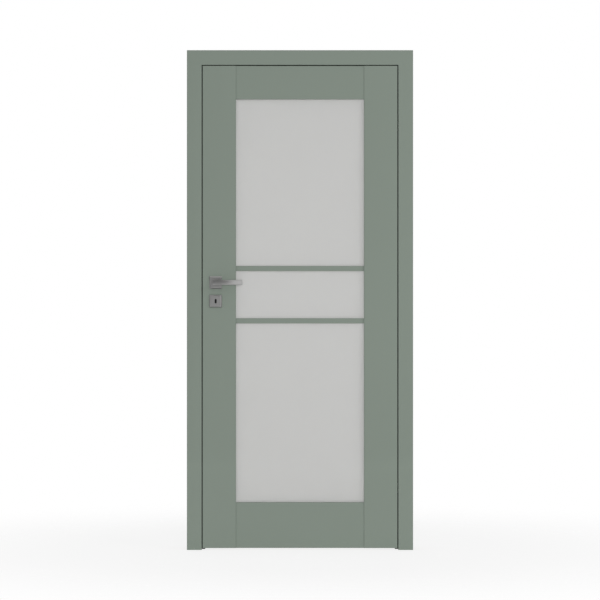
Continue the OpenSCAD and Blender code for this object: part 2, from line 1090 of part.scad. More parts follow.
module lock_case() {
    inner_y = case_front_y + case_wall;
    inner_t = case_t - 2 * case_wall;
    color(lacquer_colour)
        difference() {
            union() {
                difference() {
                    translate([case_x, inner_y, case_low])
                        cube([case_depth, case_t - case_wall, case_h]);
                    translate([case_x + case_wall, inner_y - overrun, case_low + case_wall])
                        cube([case_depth - 2 * case_wall, inner_t + overrun, case_h - 2 * case_wall]);
                }
                translate([bracket_x, inner_y, handle_z + rod_rise - bracket_h / 2])
                    cube([bracket_t, inner_t + case_wall / 2, bracket_h]);
                translate([handle_x + guide_side, inner_y, bolt_z + bolt_plate_h / 2])
                    rotate([-90, 0, 0])
                        cylinder(h = inner_t + case_wall / 2, r = guide_r);
                translate([handle_x - ward_w / 2, leaf_mid_y - ward_t / 2, case_low + case_wall / 2])
                    cube([ward_w, ward_t, ward_high - case_low - case_wall / 2]);
            }
            translate([bracket_x - overrun, leaf_mid_y, handle_z + rod_rise])
                rotate([0, 90, 0])
                    cylinder(h = bracket_t + 2 * overrun, r = rod_r + free_fit);
            bolt_windows(free_fit);
            case_holes(case_front_y + case_t - case_wall - overrun, case_wall + 2 * overrun);
        }
}

module lock_cover() {
    color(lacquer_colour)
        difference() {
            translate([case_x, case_front_y, case_low])
                cube([case_depth, case_wall, case_h]);
            case_holes(case_front_y - overrun, case_wall + 2 * overrun);
        }
}

// The spring's wire, wound round the latch's rod from the bolt's head to the bracket
function spring_length() = bracket_x - latch_back_x() - 2 * spring_seat;
function latch_back_x() = -half_leaf + latch_len;
function spring_point(k, j) = let(
    turn = 360 * k / spring_steps,
    side = 360 * j / wire_sides,
    radius = spring_r + wire_r * cos(side),
    climb = (spring_length() - 2 * wire_r) * k / (spring_turns * spring_steps)
) [
    latch_back_x() + spring_seat + wire_r + climb + wire_r * sin(side),
    leaf_mid_y + radius * cos(turn),
    handle_z + rod_rise + radius * sin(turn)
];

module latch_spring() {
    last = spring_turns * spring_steps;
    points = [for (k = [0 : last], j = [0 : wire_sides - 1]) spring_point(k, j)];
    sides = [
        for (k = [0 : last - 1], j = [0 : wire_sides - 1])
            let(next = (j + 1) % wire_sides)
                [
                    k * wire_sides + j,
                    (k + 1) * wire_sides + j,
                    (k + 1) * wire_sides + next,
                    k * wire_sides + next
                ]
    ];
    near_end = [for (j = [0 : wire_sides - 1]) j];
    far_end = [for (j = [wire_sides - 1 : -1 : 0]) last * wire_sides + j];
    color(steel_colour)
        polyhedron(points, concat([near_end, far_end], sides), convexity = spring_turns);
}

// Follower: a hub on two journals, with the lug that draws the latch
module lock_follower() {
    hub_t = case_t - 2 * case_wall - 2 * side_play;
    color(steel_colour)
        difference() {
            translate([handle_x, leaf_mid_y, handle_z]) {
                translate([0, -case_t / 2, 0])
                    rotate([-90, 0, 0])
                        cylinder(h = case_t, r = journal_r);
                translate([0, -hub_t / 2, 0])
                    rotate([-90, 0, 0])
                        cylinder(h = hub_t, r = hub_r);
                translate([-lug_w / 2, -lug_t / 2, 0])
                    cube([lug_w, lug_t, lug_len]);
            }
            spindle_bar(-case_t, 2 * case_t, spindle_fit);
        }
}

// A square bar on the handle axis, from the leaf's middle plane
module spindle_bar(start, length, grow) {
    width = spindle_w + 2 * grow;
    translate([handle_x - width / 2, leaf_mid_y + start, handle_z - width / 2])
        cube([width, length, width]);
}

// Latch bolt: a bevelled head, a round rod and a hooked tail
module latch_bolt() {
    tail_x = bracket_x + bracket_t + side_play;
    hook_x = handle_x + lug_w / 2 + lug_gap;
    color(nylon_colour) {
        difference() {
            translate([-half_leaf - latch_out, leaf_mid_y - bolt_w / 2, handle_z + latch_rise - latch_h / 2])
                cube([latch_out + latch_len, bolt_w, latch_h]);
            translate([-half_leaf - latch_out, leaf_mid_y + bolt_w / 2, handle_z + latch_rise - latch_h / 2 - overrun])
                linear_extrude(latch_h + 2 * overrun)
                    polygon([
                        [-overrun, -latch_bevel],
                        [0, -latch_bevel],
                        [latch_out, 0],
                        [latch_out, overrun],
                        [-overrun, overrun]
                    ]);
        }
        translate([-half_leaf + latch_len - overrun, leaf_mid_y, handle_z + rod_rise])
            rotate([0, 90, 0])
                cylinder(h = tail_x - latch_back_x() + 2 * overrun, r = rod_r);
        difference() {
            translate([tail_x, leaf_mid_y - tail_t / 2, handle_z + hook_low])
                cube([hook_x + hook_w - tail_x, tail_t, rod_rise + tail_h / 2 - hook_low]);
            translate([tail_x - overrun, leaf_mid_y - tail_t / 2 - overrun, handle_z + hook_low - overrun])
                cube([
                    hook_x - tail_x + overrun,
                    tail_t + 2 * overrun,
                    rod_rise + tail_h / 2 - notch_h - hook_low + overrun
                ]);
        }
    }
}

// Deadbolt: a head, and a plate that slides on the case's guide post
module deadbolt() {
    head_x = -half_leaf + bolt_sunk;
    post_x = handle_x + guide_side;
    plate_mid = bolt_z + bolt_plate_h / 2;
    color(nickel_colour)
        difference() {
            union() {
                translate([head_x, leaf_mid_y - bolt_w / 2, bolt_z])
                    cube([bolt_len, bolt_w, bolt_h]);
                translate([head_x + bolt_len - overrun, leaf_mid_y - bolt_plate_t / 2, bolt_z])
                    cube([handle_x + bolt_plate_end - head_x - bolt_len + overrun, bolt_plate_t, bolt_plate_h]);
            }
            translate([post_x, leaf_mid_y - bolt_plate_t, plate_mid - guide_r - free_fit])
                cube([bolt_throw, 2 * bolt_plate_t, 2 * (guide_r + free_fit)]);
            for (x = [post_x, post_x + bolt_throw])
                translate([x, leaf_mid_y - bolt_plate_t, plate_mid])
                    rotate([-90, 0, 0])
                        cylinder(h = 2 * bolt_plate_t, r = guide_r + free_fit);
            translate([handle_x - talon_w / 2, leaf_mid_y - bolt_plate_t, bolt_z - overrun])
                cube([talon_w, 2 * bolt_plate_t, talon_h + overrun]);
        }
}

// Holes through the lock stile for the spindle, the key and the through screws
module lever_set_holes() {
    translate([handle_x, front_y - overrun, handle_z])
        rotate([-90, 0, 0])
            cylinder(h = leaf_t + 2 * overrun, r = spindle_hole_r);
    translate([handle_x, front_y - overrun, key_z])
        along_y(leaf_t + 2 * overrun)
            stadium(keyhole_w + keyway_grow, keyhole_h + keyway_grow);
    translate([0, front_y - overrun, 0])
        at_through_screws()
            rotate([-90, 0, 0])
                cylinder(h = leaf_t + 2 * overrun, r = through_r + free_fit);
}

// Lever set, drawn outward along +Y from a leaf face at the handle axis
module on_front_face(z) {
    translate([handle_x, front_y, z])
        mirror([0, 1, 0])
            children();
}

module on_back_face(z) {
    translate([handle_x, leaf_back_y, z])
        children();
}

// A square cover with bevelled front edges, hollow behind
module rosette_shell() {
    half = rosette_w / 2;
    inner = rosette_w - 2 * rosette_wall;
    difference() {
        intersection() {
            translate([-half, 0, -half])
                along_y(rosette_t)
                    round_rect(rosette_w, rosette_w, rosette_corner_r);
            translate([0, 0, -half])
                linear_extrude(rosette_w)
                    bevelled_outline();
            rotate([0, 90, 0])
                translate([0, 0, -half])
                    linear_extrude(rosette_w)
                        bevelled_outline();
        }
        translate([-inner / 2, -overrun, -inner / 2])
            cube([inner, rosette_t - rosette_face - rosette_bevel + overrun, inner]);
        translate([-inner / 2 + rosette_bevel, 0, -inner / 2 + rosette_bevel])
            cube([inner - 2 * rosette_bevel, rosette_t - rosette_face, inner - 2 * rosette_bevel]);
    }
}

module bevelled_outline() {
    half = rosette_w / 2;
    polygon([
        [-half, 0],
        [half, 0],
        [half, rosette_t - rosette_bevel],
        [half - rosette_bevel, rosette_t],
        [rosette_bevel - half, rosette_t],
        [-half, rosette_t - rosette_bevel]
    ]);
}

module lever_rosette() {
    color(nickel_colour)
        difference() {
            rosette_shell();
            rotate([-90, 0, 0])
                cylinder(h = rosette_t + overrun, r = neck_r + free_fit);
        }
}

module key_rosette() {
    color(nickel_colour)
        difference() {
            rosette_shell();
            along_y(rosette_t + overrun)
                stadium(keyhole_w, keyhole_h);
        }
}

module front_lever_rosette() {
    on_front_face(handle_z)
        lever_rosette();
}

module back_lever_rosette() {
    on_back_face(handle_z)
        lever_rosette();
}

module front_key_rosette() {
    on_front_face(key_z)
        key_rosette();
}

module back_key_rosette() {
    on_back_face(key_z)
        key_rosette();
}

// A base plate inside a rosette, held by the through screws
module base_plate() {
    base_low = rosette_t - rosette_face - rosette_bevel;
    inset = base_t > base_low ? rosette_bevel : 0;
    width = base_w - 2 * inset;
    difference() {
        translate([-width / 2, 0, -width / 2])
            along_y(base_t)
                round_rect(width, width, rosette_corner_r);
        for (side = [-1, 1])
            translate([side * bolt_hole_side, -overrun, 0])
                rotate([-90, 0, 0])
                    cylinder(h = base_t + 2 * overrun, r = through_r + glue_fit);
        children();
    }
}

module lever_base() {
    base_plate()
        translate([0, -overrun, 0])
            rotate([-90, 0, 0])
                cylinder(h = base_t + 2 * overrun, r = neck_r + running_fit);
}

module key_base() {
    base_plate()
        translate([0, -overrun, 0])
            along_y(base_t + 2 * overrun)
                stadium(keyhole_w + keyway_grow, keyhole_h + keyway_grow);
}

module lever_bases() {
    color(zinc_colour) {
        on_front_face(handle_z)
            lever_base();
        on_back_face(handle_z)
            lever_base();
    }
}

module key_bases() {
    color(zinc_colour) {
        on_front_face(key_z)
            key_base();
        on_back_face(key_z)
            key_base();
    }
}

module rosette_screws() {
    color(steel_colour)
        translate([0, front_y - base_t, 0])
            at_through_screws() {
                rotate([-90, 0, 0])
                    cylinder(h = leaf_t + 2 * base_t, r = through_r);
                translate([0, -through_head_len, 0])
                    rotate([-90, 0, 0])
                        cylinder(h = through_head_len, r = through_head_r);
            }
}

// A lever: a round neck, and on it a bar that bows out from the leaf and comes back at its tip
module lever() {
    color(nickel_colour)
        difference() {
            union() {
                translate([0, neck_foot, 0])
                    rotate([-90, 0, 0])
                        cylinder(h = neck_end - neck_foot, r = neck_r);
                translate([bow_mid, lever_out - bow_r, 0])
                    rotate([0, 0, 90 - bow_half])
                        rotate_extrude(angle = 2 * bow_half)
                            translate([bow_inner_r, -lever_h / 2])
                                round_rect(lever_t, lever_h, grip_edge_r);
            }
            translate([bow_mid, lever_out - bow_r, 0])
                for (end = [-1, 1], side = [-1, 1])
                    rotate([0, 0, 90 + end * bow_half])
                        translate([bow_inner_r - overrun, 0, side * lever_h / 2])
                            rotate([45, 0, 0])
                                translate([0, -tip_bevel / 2, -tip_bevel / 2])
                                    cube([lever_t + 2 * overrun, tip_bevel, tip_bevel]);
            translate([-spindle_w / 2 - spindle_fit, 0, -spindle_w / 2 - spindle_fit])
                cube([spindle_w + 2 * spindle_fit, socket_len, spindle_w + 2 * spindle_fit]);
            translate([0, set_screw_out, -neck_r - overrun])
                cylinder(h = neck_r + overrun, r = set_screw_r + running_fit);
        }
}

module set_screw() {
    translate([0, set_screw_out, -neck_r])
        cylinder(h = neck_r - spindle_w / 2 - spindle_fit, r = set_screw_r);
}

module front_lever() {
    on_front_face(handle_z)
        lever();
}

module back_lever() {
    on_back_face(handle_z)
        lever();
}

module lever_set_screws() {
    color(steel_colour) {
        on_front_face(handle_z)
            set_screw();
        on_back_face(handle_z)
            set_screw();
    }
}

module spindle() {
    reach = leaf_t / 2 + socket_len - spindle_spare;
    color(steel_colour)
        spindle_bar(-reach, 2 * reach, 0);
}

lock_jamb();
hinge_jamb();
head_jamb();
lock_front_casing();
hinge_front_casing();
head_front_casing();
lock_back_casing();
hinge_back_casing();
head_back_casing();
lock_seal();
hinge_seal();
head_seal();
jamb_screws();
strike_plate();
frame_screws();
upper_hinge_frame_body();
lower_hinge_frame_body();
hinge_frame_pins();
lock_stile();
hinge_stile();
top_rail();
bottom_rail();
upper_bar();
lower_bar();
upper_pane();
middle_pane();
lower_pane();
upper_pane_gasket();
middle_pane_gasket();
lower_pane_gasket();
rail_dowels();
upper_hinge_leaf_body();
lower_hinge_leaf_body();
hinge_leaf_pins();
lock_case();
lock_cover();
lock_faceplate();
leaf_screws();
latch_spring();
lever_bases();
key_bases();
rosette_screws();
front_lever_rosette();
back_lever_rosette();
front_key_rosette();
back_key_rosette();
front_lever();
back_lever();
spindle();
lever_set_screws();
lock_follower();
latch_bolt();
deadbolt();
upper_hinge_frame_arm();
lower_hinge_frame_arm();
upper_hinge_leaf_arm();
lower_hinge_leaf_arm();
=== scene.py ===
# %% [markdown]
# # An interior door, from its construction to its picture
#
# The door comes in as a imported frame: every stile, rail, pane, hinge and screw is a solid with a real
# size, and each one belongs to a body, such as the fixed frame or the swinging leaf. Nothing here moves
# or reshapes those solids. The cells below dress them: they give each one a finish, and they rebuild
# the few small pieces that are looked at closely, such as the lever, with softer edges than a
# construction needs.

# %% Load the door
import json
import math
import bpy
import bmesh
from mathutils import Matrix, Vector


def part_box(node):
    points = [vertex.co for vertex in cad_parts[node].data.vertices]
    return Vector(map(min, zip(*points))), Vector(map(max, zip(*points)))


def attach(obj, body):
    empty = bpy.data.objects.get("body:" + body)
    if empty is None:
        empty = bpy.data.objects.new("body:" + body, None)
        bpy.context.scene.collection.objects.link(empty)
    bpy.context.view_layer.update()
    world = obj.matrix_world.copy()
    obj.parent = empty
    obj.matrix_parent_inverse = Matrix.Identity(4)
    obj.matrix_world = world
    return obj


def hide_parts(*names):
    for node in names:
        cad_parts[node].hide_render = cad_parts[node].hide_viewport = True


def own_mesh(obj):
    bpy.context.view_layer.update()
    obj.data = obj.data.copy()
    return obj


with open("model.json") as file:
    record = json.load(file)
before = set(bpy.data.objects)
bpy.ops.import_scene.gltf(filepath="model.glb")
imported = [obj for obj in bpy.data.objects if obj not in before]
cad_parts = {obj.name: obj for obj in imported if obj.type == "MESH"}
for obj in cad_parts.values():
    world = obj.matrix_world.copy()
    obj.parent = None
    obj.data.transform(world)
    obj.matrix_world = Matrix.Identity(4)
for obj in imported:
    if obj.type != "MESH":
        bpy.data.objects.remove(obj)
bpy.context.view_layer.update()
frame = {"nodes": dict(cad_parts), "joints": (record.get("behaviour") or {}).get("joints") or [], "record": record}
nodes = frame["nodes"]
scene = bpy.context.scene
# Blender counts in metres, and a door maker in millimetres.
MM = 0.001

# %% [markdown]
# ## The camera
#
# The picture is a straight view of the front, in which upright lines stay upright. An orthographic
# camera would keep them so, but it shows no depth at all. A long lens ten metres away keeps a little of
# it: what lies further back is drawn slightly smaller, so the feet of the stops show a little higher
# than the casings' feet. The lens follows from one measure, how many metres of the leaf's front plane
# fill the width of the picture.

# %% Camera
# In metres, but for the sensor, whose width Blender takes in millimetres
PICTURE_WIDTH = 2.5194
CAMERA_DISTANCE = 10.0
CAMERA_HEIGHT = 1.0497
SENSOR_WIDTH = 36.0
# The lock stile is as tall and as thick as the whole leaf.
leaf_low, leaf_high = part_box("lock_stile")
front_y = leaf_low.y
back_y = leaf_high.y

camera_data = bpy.data.cameras.new("camera")
camera_data.sensor_width = SENSOR_WIDTH
camera_data.lens = SENSOR_WIDTH * CAMERA_DISTANCE / PICTURE_WIDTH
camera = bpy.data.objects.new("camera", camera_data)
camera.location = (0.0, front_y - CAMERA_DISTANCE, CAMERA_HEIGHT)
camera.rotation_euler = (math.radians(90), 0, 0)
scene.collection.objects.link(camera)
scene.camera = camera
print("lens:", round(camera_data.lens, 1), "mm")

# %% [markdown]
# ## Shared surface effects
#
# No finish is one flat value: a foil's colour drifts a little over a door, and even polished metal has
# a fine tooth. Pictures of surfaces could be laid over the pieces, but every piece would then need an
# unwrapped layout of its own. Noise needs none: it reads the object's own coordinates in metres, so a
# door and a screw get the same grain. Two node groups are shared by all the finishes. The mottle lets
# a colour drift, and the relief raises a tooth that can be drawn out along one direction, as brushing
# does.

# %% Mottle
NUMBER = "NodeSocketFloat"
VECTOR = "NodeSocketVector"
COLOUR = "NodeSocketColor"


def new_group(name, kind, inputs, outputs):
    """An empty node group with named sockets, and its two ends; an input may give a default."""
    tree = bpy.data.node_groups.new(name, kind)
    for label, socket_type, *default in inputs:
        socket = tree.interface.new_socket(label, in_out="INPUT", socket_type=socket_type)
        if default:
            socket.default_value = default[0]
    for label, socket_type in outputs:
        tree.interface.new_socket(label, in_out="OUTPUT", socket_type=socket_type)
    return tree, tree.nodes.new("NodeGroupInput"), tree.nodes.new("NodeGroupOutput")


def inputs_of(group):
    """The names of a group's inputs, with the identifiers that a modifier knows them by."""
    sockets = [item for item in group.interface.items_tree if item.item_type == "SOCKET"]
    return {item.name: item.identifier for item in sockets if item.in_out == "INPUT"}


def calc(tree, operation, *terms):
    """One math node; a term is a number or another node's output."""
    node = tree.nodes.new("ShaderNodeMath")
    node.operation = operation
    for socket, term in zip(node.inputs, terms):
        if isinstance(term, (int, float)):
            socket.default_value = term
        else:
            tree.links.new(term, socket)
    return node.outputs[0]


def mottle_group():
    tree, entry, leave = new_group(
        "mottle", "ShaderNodeTree",
        [("Colour", COLOUR, (1, 1, 1, 1)), ("Scale", NUMBER, 6.0), ("Amount", NUMBER, 0.03)],
        [("Colour", COLOUR)],
    )
    coords = tree.nodes.new("ShaderNodeTexCoord")
    noise = tree.nodes.new("ShaderNodeTexNoise")
    noise.inputs["Detail"].default_value = 4.0
    centred = calc(tree, "SUBTRACT", noise.outputs["Fac"], 0.5)
    swing = calc(tree, "MULTIPLY_ADD", centred, entry.outputs["Amount"], 1.0)
    tint = tree.nodes.new("ShaderNodeVectorMath")
    tint.operation = "SCALE"
    link = tree.links.new
    link(coords.outputs["Object"], noise.inputs["Vector"])
    link(entry.outputs["Scale"], noise.inputs["Scale"])
    link(entry.outputs["Colour"], tint.inputs[0])
    link(swing, tint.inputs["Scale"])
    link(tint.outputs["Vector"], leave.inputs["Colour"])
    return tree


MOTTLE = mottle_group()
print(MOTTLE.name, "takes", ", ".join(inputs_of(MOTTLE)))

# %% Relief
TOOTH_DEPTH = 0.4 * MM


def relief_group():
    tree, entry, leave = new_group(
        "relief", "ShaderNodeTree",
        [("Scale", NUMBER, 800.0), ("Strength", NUMBER, 0.05), ("Stretch", VECTOR, (1, 1, 1))],
        [("Normal", VECTOR), ("Height", NUMBER)],
    )
    coords = tree.nodes.new("ShaderNodeTexCoord")
    stretch = tree.nodes.new("ShaderNodeVectorMath")
    stretch.operation = "MULTIPLY"
    noise = tree.nodes.new("ShaderNodeTexNoise")
    noise.inputs["Detail"].default_value = 3.0
    bump = tree.nodes.new("ShaderNodeBump")
    bump.inputs["Distance"].default_value = TOOTH_DEPTH
    link = tree.links.new
    link(coords.outputs["Object"], stretch.inputs[0])
    link(entry.outputs["Stretch"], stretch.inputs[1])
    link(stretch.outputs["Vector"], noise.inputs["Vector"])
    link(entry.outputs["Scale"], noise.inputs["Scale"])
    link(entry.outputs["Strength"], bump.inputs["Strength"])
    link(noise.outputs["Fac"], bump.inputs["Height"])
    link(bump.outputs["Normal"], leave.inputs["Normal"])
    link(noise.outputs["Fac"], leave.inputs["Height"])
    return tree


RELIEF = relief_group()
print(RELIEF.name, "takes", ", ".join(inputs_of(RELIEF)))

# %% [markdown]
# ## A finish in general
#
# Every finish is one Principled shader with the same three things: a drifting colour, the tooth as a
# bump, and a roughness that follows the tooth. Such materials could be wired one by one in the node
# editor. Here a function wires them all alike, so each call further down only says what is special
# about its surface.

# %% A finish
def add_group(tree, group, **values):
    """A node that stands for a group, with its own values on the group's inputs."""
    node = tree.nodes.new("ShaderNodeGroup")
    node.node_tree = group
    for label, value in values.items():
        node.inputs[label].default_value = value
    return node


def new_material(name, colour):
    mat = bpy.data.materials.new(name)
    mat.use_nodes = True
    mat.diffuse_color = (*colour, 1)
    return mat, mat.node_tree.nodes["Principled BSDF"]


def finish(name, colour, roughness, metallic=0.0, mottle=0.04, mottle_scale=8.0,
           relief=0.05, relief_scale=800.0, stretch=(1, 1, 1), spread=0.06):
    """A surface with a drifting colour, a varied roughness and a fine tooth."""
    mat, shader = new_material(name, colour)
    tree = mat.node_tree
    shader.inputs["Metallic"].default_value = metallic
    tone = add_group(tree, MOTTLE, Colour=(*colour, 1), Scale=mottle_scale, Amount=mottle)
    tooth = add_group(tree, RELIEF, Scale=relief_scale, Strength=relief, Stretch=stretch)
    rough = tree.nodes.new("ShaderNodeMapRange")
    rough.inputs["To Min"].default_value = roughness - spread
    rough.inputs["To Max"].default_value = roughness + spread
    link = tree.links.new
    link(tone.outputs["Colour"], shader.inputs["Base Color"])
    link(tooth.outputs["Height"], rough.inputs["Value"])
    link(rough.outputs["Result"], shader.inputs["Roughness"])
    link(tooth.outputs["Normal"], shader.inputs["Normal"])
    return mat


print("every finish shares:", MOTTLE.name, "and", RELIEF.name)

# %% [markdown]
# ## The foil, and the core under it
#
# The wood members are wrapped in a grey-green foil: matt, very even, with a fine tooth. There is no
# foil where a member is cut square at its foot, on the faces that a wall hides, and in the pockets
# that are milled for the strike plate and the hinges. There the pressed-wood core shows. Those faces
# could be given a second material one by one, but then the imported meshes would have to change. A mask
# of small comparisons finds them instead, by where they lie and which way they look.

# %% Where the core shows
WALL_MOUNTS = ("wall_face", "back_wall_face")
# A face looks along an axis when its normal reaches this far along it.
SQUARE_ON = 0.9
NEAR = 2 * MM
MARGIN = 1 * MM
POCKET_LIP = 0.4 * MM
JAMB_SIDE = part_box("hinge_jamb")[1].x
JAMB_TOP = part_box("head_jamb")[1].z
JAMB_FACE = abs(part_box("strike_plate")[1].x)
FOOT_HEIGHT = leaf_low.z + MARGIN
wall_y = [mount["pos_m"][1] for mount in frame["record"]["mounts"] if mount["name"] in WALL_MOUNTS]
WALL_MIDDLE = sum(wall_y) / 2
WALL_HALF = abs(wall_y[0] - wall_y[1]) / 2


def core_mask(tree):
    """One where the core shows: at cut feet, on the faces that turn to the wall, and in milled pockets."""
    coords = tree.nodes.new("ShaderNodeTexCoord")
    place = tree.nodes.new("ShaderNodeSeparateXYZ")
    facing = tree.nodes.new("ShaderNodeSeparateXYZ")
    tree.links.new(coords.outputs["Object"], place.inputs[0])
    tree.links.new(coords.outputs["Normal"], facing.inputs[0])
    x, y, z = place.outputs
    across, along, up = facing.outputs
    from_middle = calc(tree, "ABSOLUTE", x)
    in_wall = calc(tree, "ABSOLUTE", calc(tree, "SUBTRACT", y, WALL_MIDDLE))

    def looks(way):
        return calc(tree, "GREATER_THAN", way, SQUARE_ON)

    def lies_at(value, target):
        return calc(tree, "COMPARE", value, target, NEAR)

    rules = (
        (calc(tree, "LESS_THAN", up, -SQUARE_ON), calc(tree, "LESS_THAN", z, FOOT_HEIGHT)),
        (looks(calc(tree, "ABSOLUTE", across)), lies_at(from_middle, JAMB_SIDE)),
        (looks(up), lies_at(z, JAMB_TOP)),
        (looks(calc(tree, "ABSOLUTE", along)), lies_at(in_wall, WALL_HALF)),
        (calc(tree, "GREATER_THAN", from_middle, JAMB_FACE + POCKET_LIP),
         calc(tree, "LESS_THAN", in_wall, WALL_HALF - MARGIN)),
    )
    mask = 0.0
    for one, other in rules:
        mask = calc(tree, "MAXIMUM", calc(tree, "MULTIPLY", one, other), mask)
    return mask


print("the frame closes round a wall of", round(2 * WALL_HALF / MM), "mm")

# %% Foil
FOIL_GREEN = (0.196, 0.232, 0.198)
CORE_BROWN = (0.36, 0.26, 0.165, 1)
# A mix node has sockets for every kind of value, and these are the ones for colour.
MIX_FIRST = 6
MIX_SECOND = 7
MIX_RESULT = 2


def foil_finish():
    """Foil over pressed wood, which shows where the foil ends."""
    mat = finish("green_foil", FOIL_GREEN, 0.5, mottle=0.03, mottle_scale=2.5,
                 relief=0.035, relief_scale=1400.0)
    tree = mat.node_tree
    shader = tree.nodes["Principled BSDF"]
    shader.inputs["Specular IOR Level"].default_value = 0.4
    tone = shader.inputs["Base Color"].links[0].from_node
    core = add_group(tree, MOTTLE, Colour=CORE_BROWN, Scale=420.0, Amount=0.7)
    mix = tree.nodes.new("ShaderNodeMix")
    mix.data_type = "RGBA"
    link = tree.links.new
    link(core_mask(tree), mix.inputs["Factor"])
    link(tone.outputs["Colour"], mix.inputs[MIX_FIRST])
    link(core.outputs["Colour"], mix.inputs[MIX_SECOND])
    link(mix.outputs[MIX_RESULT], shader.inputs["Base Color"])
    return mat


FOIL = foil_finish()
print(FOIL.name, "nodes:", len(FOIL.node_tree.nodes))

# %% [markdown]
# ## The satin glass
#
# The panes are etched on both faces, so they pass light but no picture. A clear shader with a very
# rough surface would do that too, but it needs many samples, and it shows how dark the grooves round
# a pane are. Here a quarter of the light goes through, and the rest comes back from the pale etched
# face. That reads as satin glass from both sides of the door.

# %% Satin glass
PANE_GREY = (0.54, 0.54, 0.531)


def glass_finish():
    mat = finish("satin_glass", PANE_GREY, 0.62, mottle=0.02, mottle_scale=1.5,
                 relief=0.06, relief_scale=2200.0, spread=0.04)
    shader = mat.node_tree.nodes["Principled BSDF"]
    shader.inputs["Transmission Weight"].default_value = 0.25
    shader.inputs["IOR"].default_value = 1.45
    return mat


GLASS = glass_finish()
print(GLASS.name, "nodes:", len(GLASS.node_tree.nodes))

# %% [markdown]
# ## The metals
#
# The fittings that show are satin nickel: the levers, the rosettes, the faceplate, the strike plate
# and the deadbolt. It is brushed, so its tooth is drawn out along X, the way the grip runs. An
# anisotropic shader would stretch the highlight as brushing does, but up close it shows no lines, and
# the drawn-out tooth does. Screws, pins, hinge arms and the spring are plain steel. The hinges' bodies
# and the bases under the rosettes are cast zinc, which is rougher and more uneven.

# %% Metals
NICKEL = finish("satin_nickel", (0.43, 0.428, 0.424), 0.34, metallic=1.0, mottle=0.03, mottle_scale=40.0,
                relief=0.04, relief_scale=900.0, stretch=(0.06, 1, 1), spread=0.05)
STEEL = finish("plain_steel", (0.52, 0.53, 0.54), 0.34, metallic=1.0, mottle=0.06, mottle_scale=90.0,
               relief=0.05, relief_scale=1500.0)
ZINC = finish("cast_zinc", (0.42, 0.43, 0.45), 0.45, metallic=1.0, mottle=0.1, mottle_scale=120.0,
              relief=0.12, relief_scale=1200.0)
print("metals:", [metal.name for metal in (NICKEL, STEEL, ZINC)])

# %% [markdown]
# ## Seals, lock and dowels
#
# The seals on the stops are black rubber, and the gaskets round the panes are pale, so that they don't
# show through the glass. The lock has a case in black lacquer and a latch of black nylon, which closes
# quietly. The dowels that join the leaf's stiles and rails are beech, with a grain that runs along
# them. Each of these could have a shader of its own, but they are small or hidden, so the common
# finish is enough and only its values change.

# %% Seals, lock and dowels
RUBBER = finish("rubber", (0.02, 0.021, 0.022), 0.7, mottle=0.2, mottle_scale=60.0,
                relief=0.1, relief_scale=2500.0)
PALE_SEAL = finish("pale_seal", (0.55, 0.55, 0.53), 0.55, mottle=0.06, mottle_scale=30.0,
                   relief=0.08, relief_scale=2000.0)
LACQUER = finish("black_lacquer", (0.012, 0.012, 0.013), 0.5, mottle=0.2, mottle_scale=80.0,
                 relief=0.08, relief_scale=1800.0)
NYLON = finish("black_nylon", (0.02, 0.02, 0.021), 0.5, mottle=0.15, mottle_scale=150.0,
               relief=0.06, relief_scale=1600.0)
BEECH = finish("beech", (0.5, 0.31, 0.16), 0.6, mottle=0.3, mottle_scale=60.0,
               relief=0.2, relief_scale=400.0, stretch=(0.05, 1, 1))
print("others:", [other.name for other in (RUBBER, PALE_SEAL, LACQUER, NYLON, BEECH)])

# %% [markdown]
# ## Dressing the solids
#
# Every solid of the door names a material slot in its record, as a parts list does. The finishes could
# be assigned by hand, solid by solid. A table from slot to finish does it in one loop, and no solid
# can be forgotten.

# %% Dress the solids
BY_SLOT = {
    "green_foil": FOIL, "satin_glass": GLASS, "satin_nickel": NICKEL, "steel": STEEL, "zinc": ZINC,
    "rubber": RUBBER, "pale_seal": PALE_SEAL, "black_lacquer": LACQUER, "black_nylon": NYLON,
    "beech": BEECH,
}
for part in frame["record"]["subparts"]:
    mesh = nodes[part["node"]].data
    mesh.materials.clear()
    mesh.materials.append(BY_SLOT[part["material_slot"]])

# %% [markdown]
# ## Smooth shading for the solids
#
# The solids arrive as loose triangles, so a rounded edge shows its facets. Joining the triangles in
# the mesh would help, but the solids stay as they are, and plain smooth shading would smear the flat
# faces round their corners. A short Geometry Nodes modifier welds the triangles and shades them
# smoothly, and keeps an edge crisp where two faces meet at more than the named angle. It is a live
# modifier, so the meshes under it are untouched.

# %% Weld and smooth
GEOMETRY = "NodeSocketGeometry"
SHARP_ANGLE = math.radians(30)
WELD_DISTANCE = 0.002 * MM


def weld_group():
    tree, entry, leave = new_group(
        "weld_and_smooth", "GeometryNodeTree",
        [("Geometry", GEOMETRY), ("Sharp Angle", NUMBER, SHARP_ANGLE)],
        [("Geometry", GEOMETRY)],
    )
    weld = tree.nodes.new("GeometryNodeMergeByDistance")
    weld.inputs["Distance"].default_value = WELD_DISTANCE
    smooth = tree.nodes.new("GeometryNodeSetShadeSmooth")
    edge_angle = tree.nodes.new("GeometryNodeInputMeshEdgeAngle")
    is_sharp = calc(tree, "GREATER_THAN", edge_angle.outputs["Unsigned Angle"], entry.outputs["Sharp Angle"])
    crisp = tree.nodes.new("GeometryNodeSetShadeSmooth")
    crisp.domain = "EDGE"
    crisp.inputs["Shade Smooth"].default_value = False
    link = tree.links.new
    link(entry.outputs["Geometry"], weld.inputs["Geometry"])
    link(weld.outputs["Geometry"], smooth.inputs["Geometry"])
    link(smooth.outputs["Geometry"], crisp.inputs["Geometry"])
    link(is_sharp, crisp.inputs["Selection"])
    link(crisp.outputs["Geometry"], leave.inputs["Geometry"])
    return tree


WELD = weld_group()
for solid in nodes.values():
    solid.modifiers.new("weld_and_smooth", "NODES").node_group = WELD
print("smoothed solids:", len(nodes))

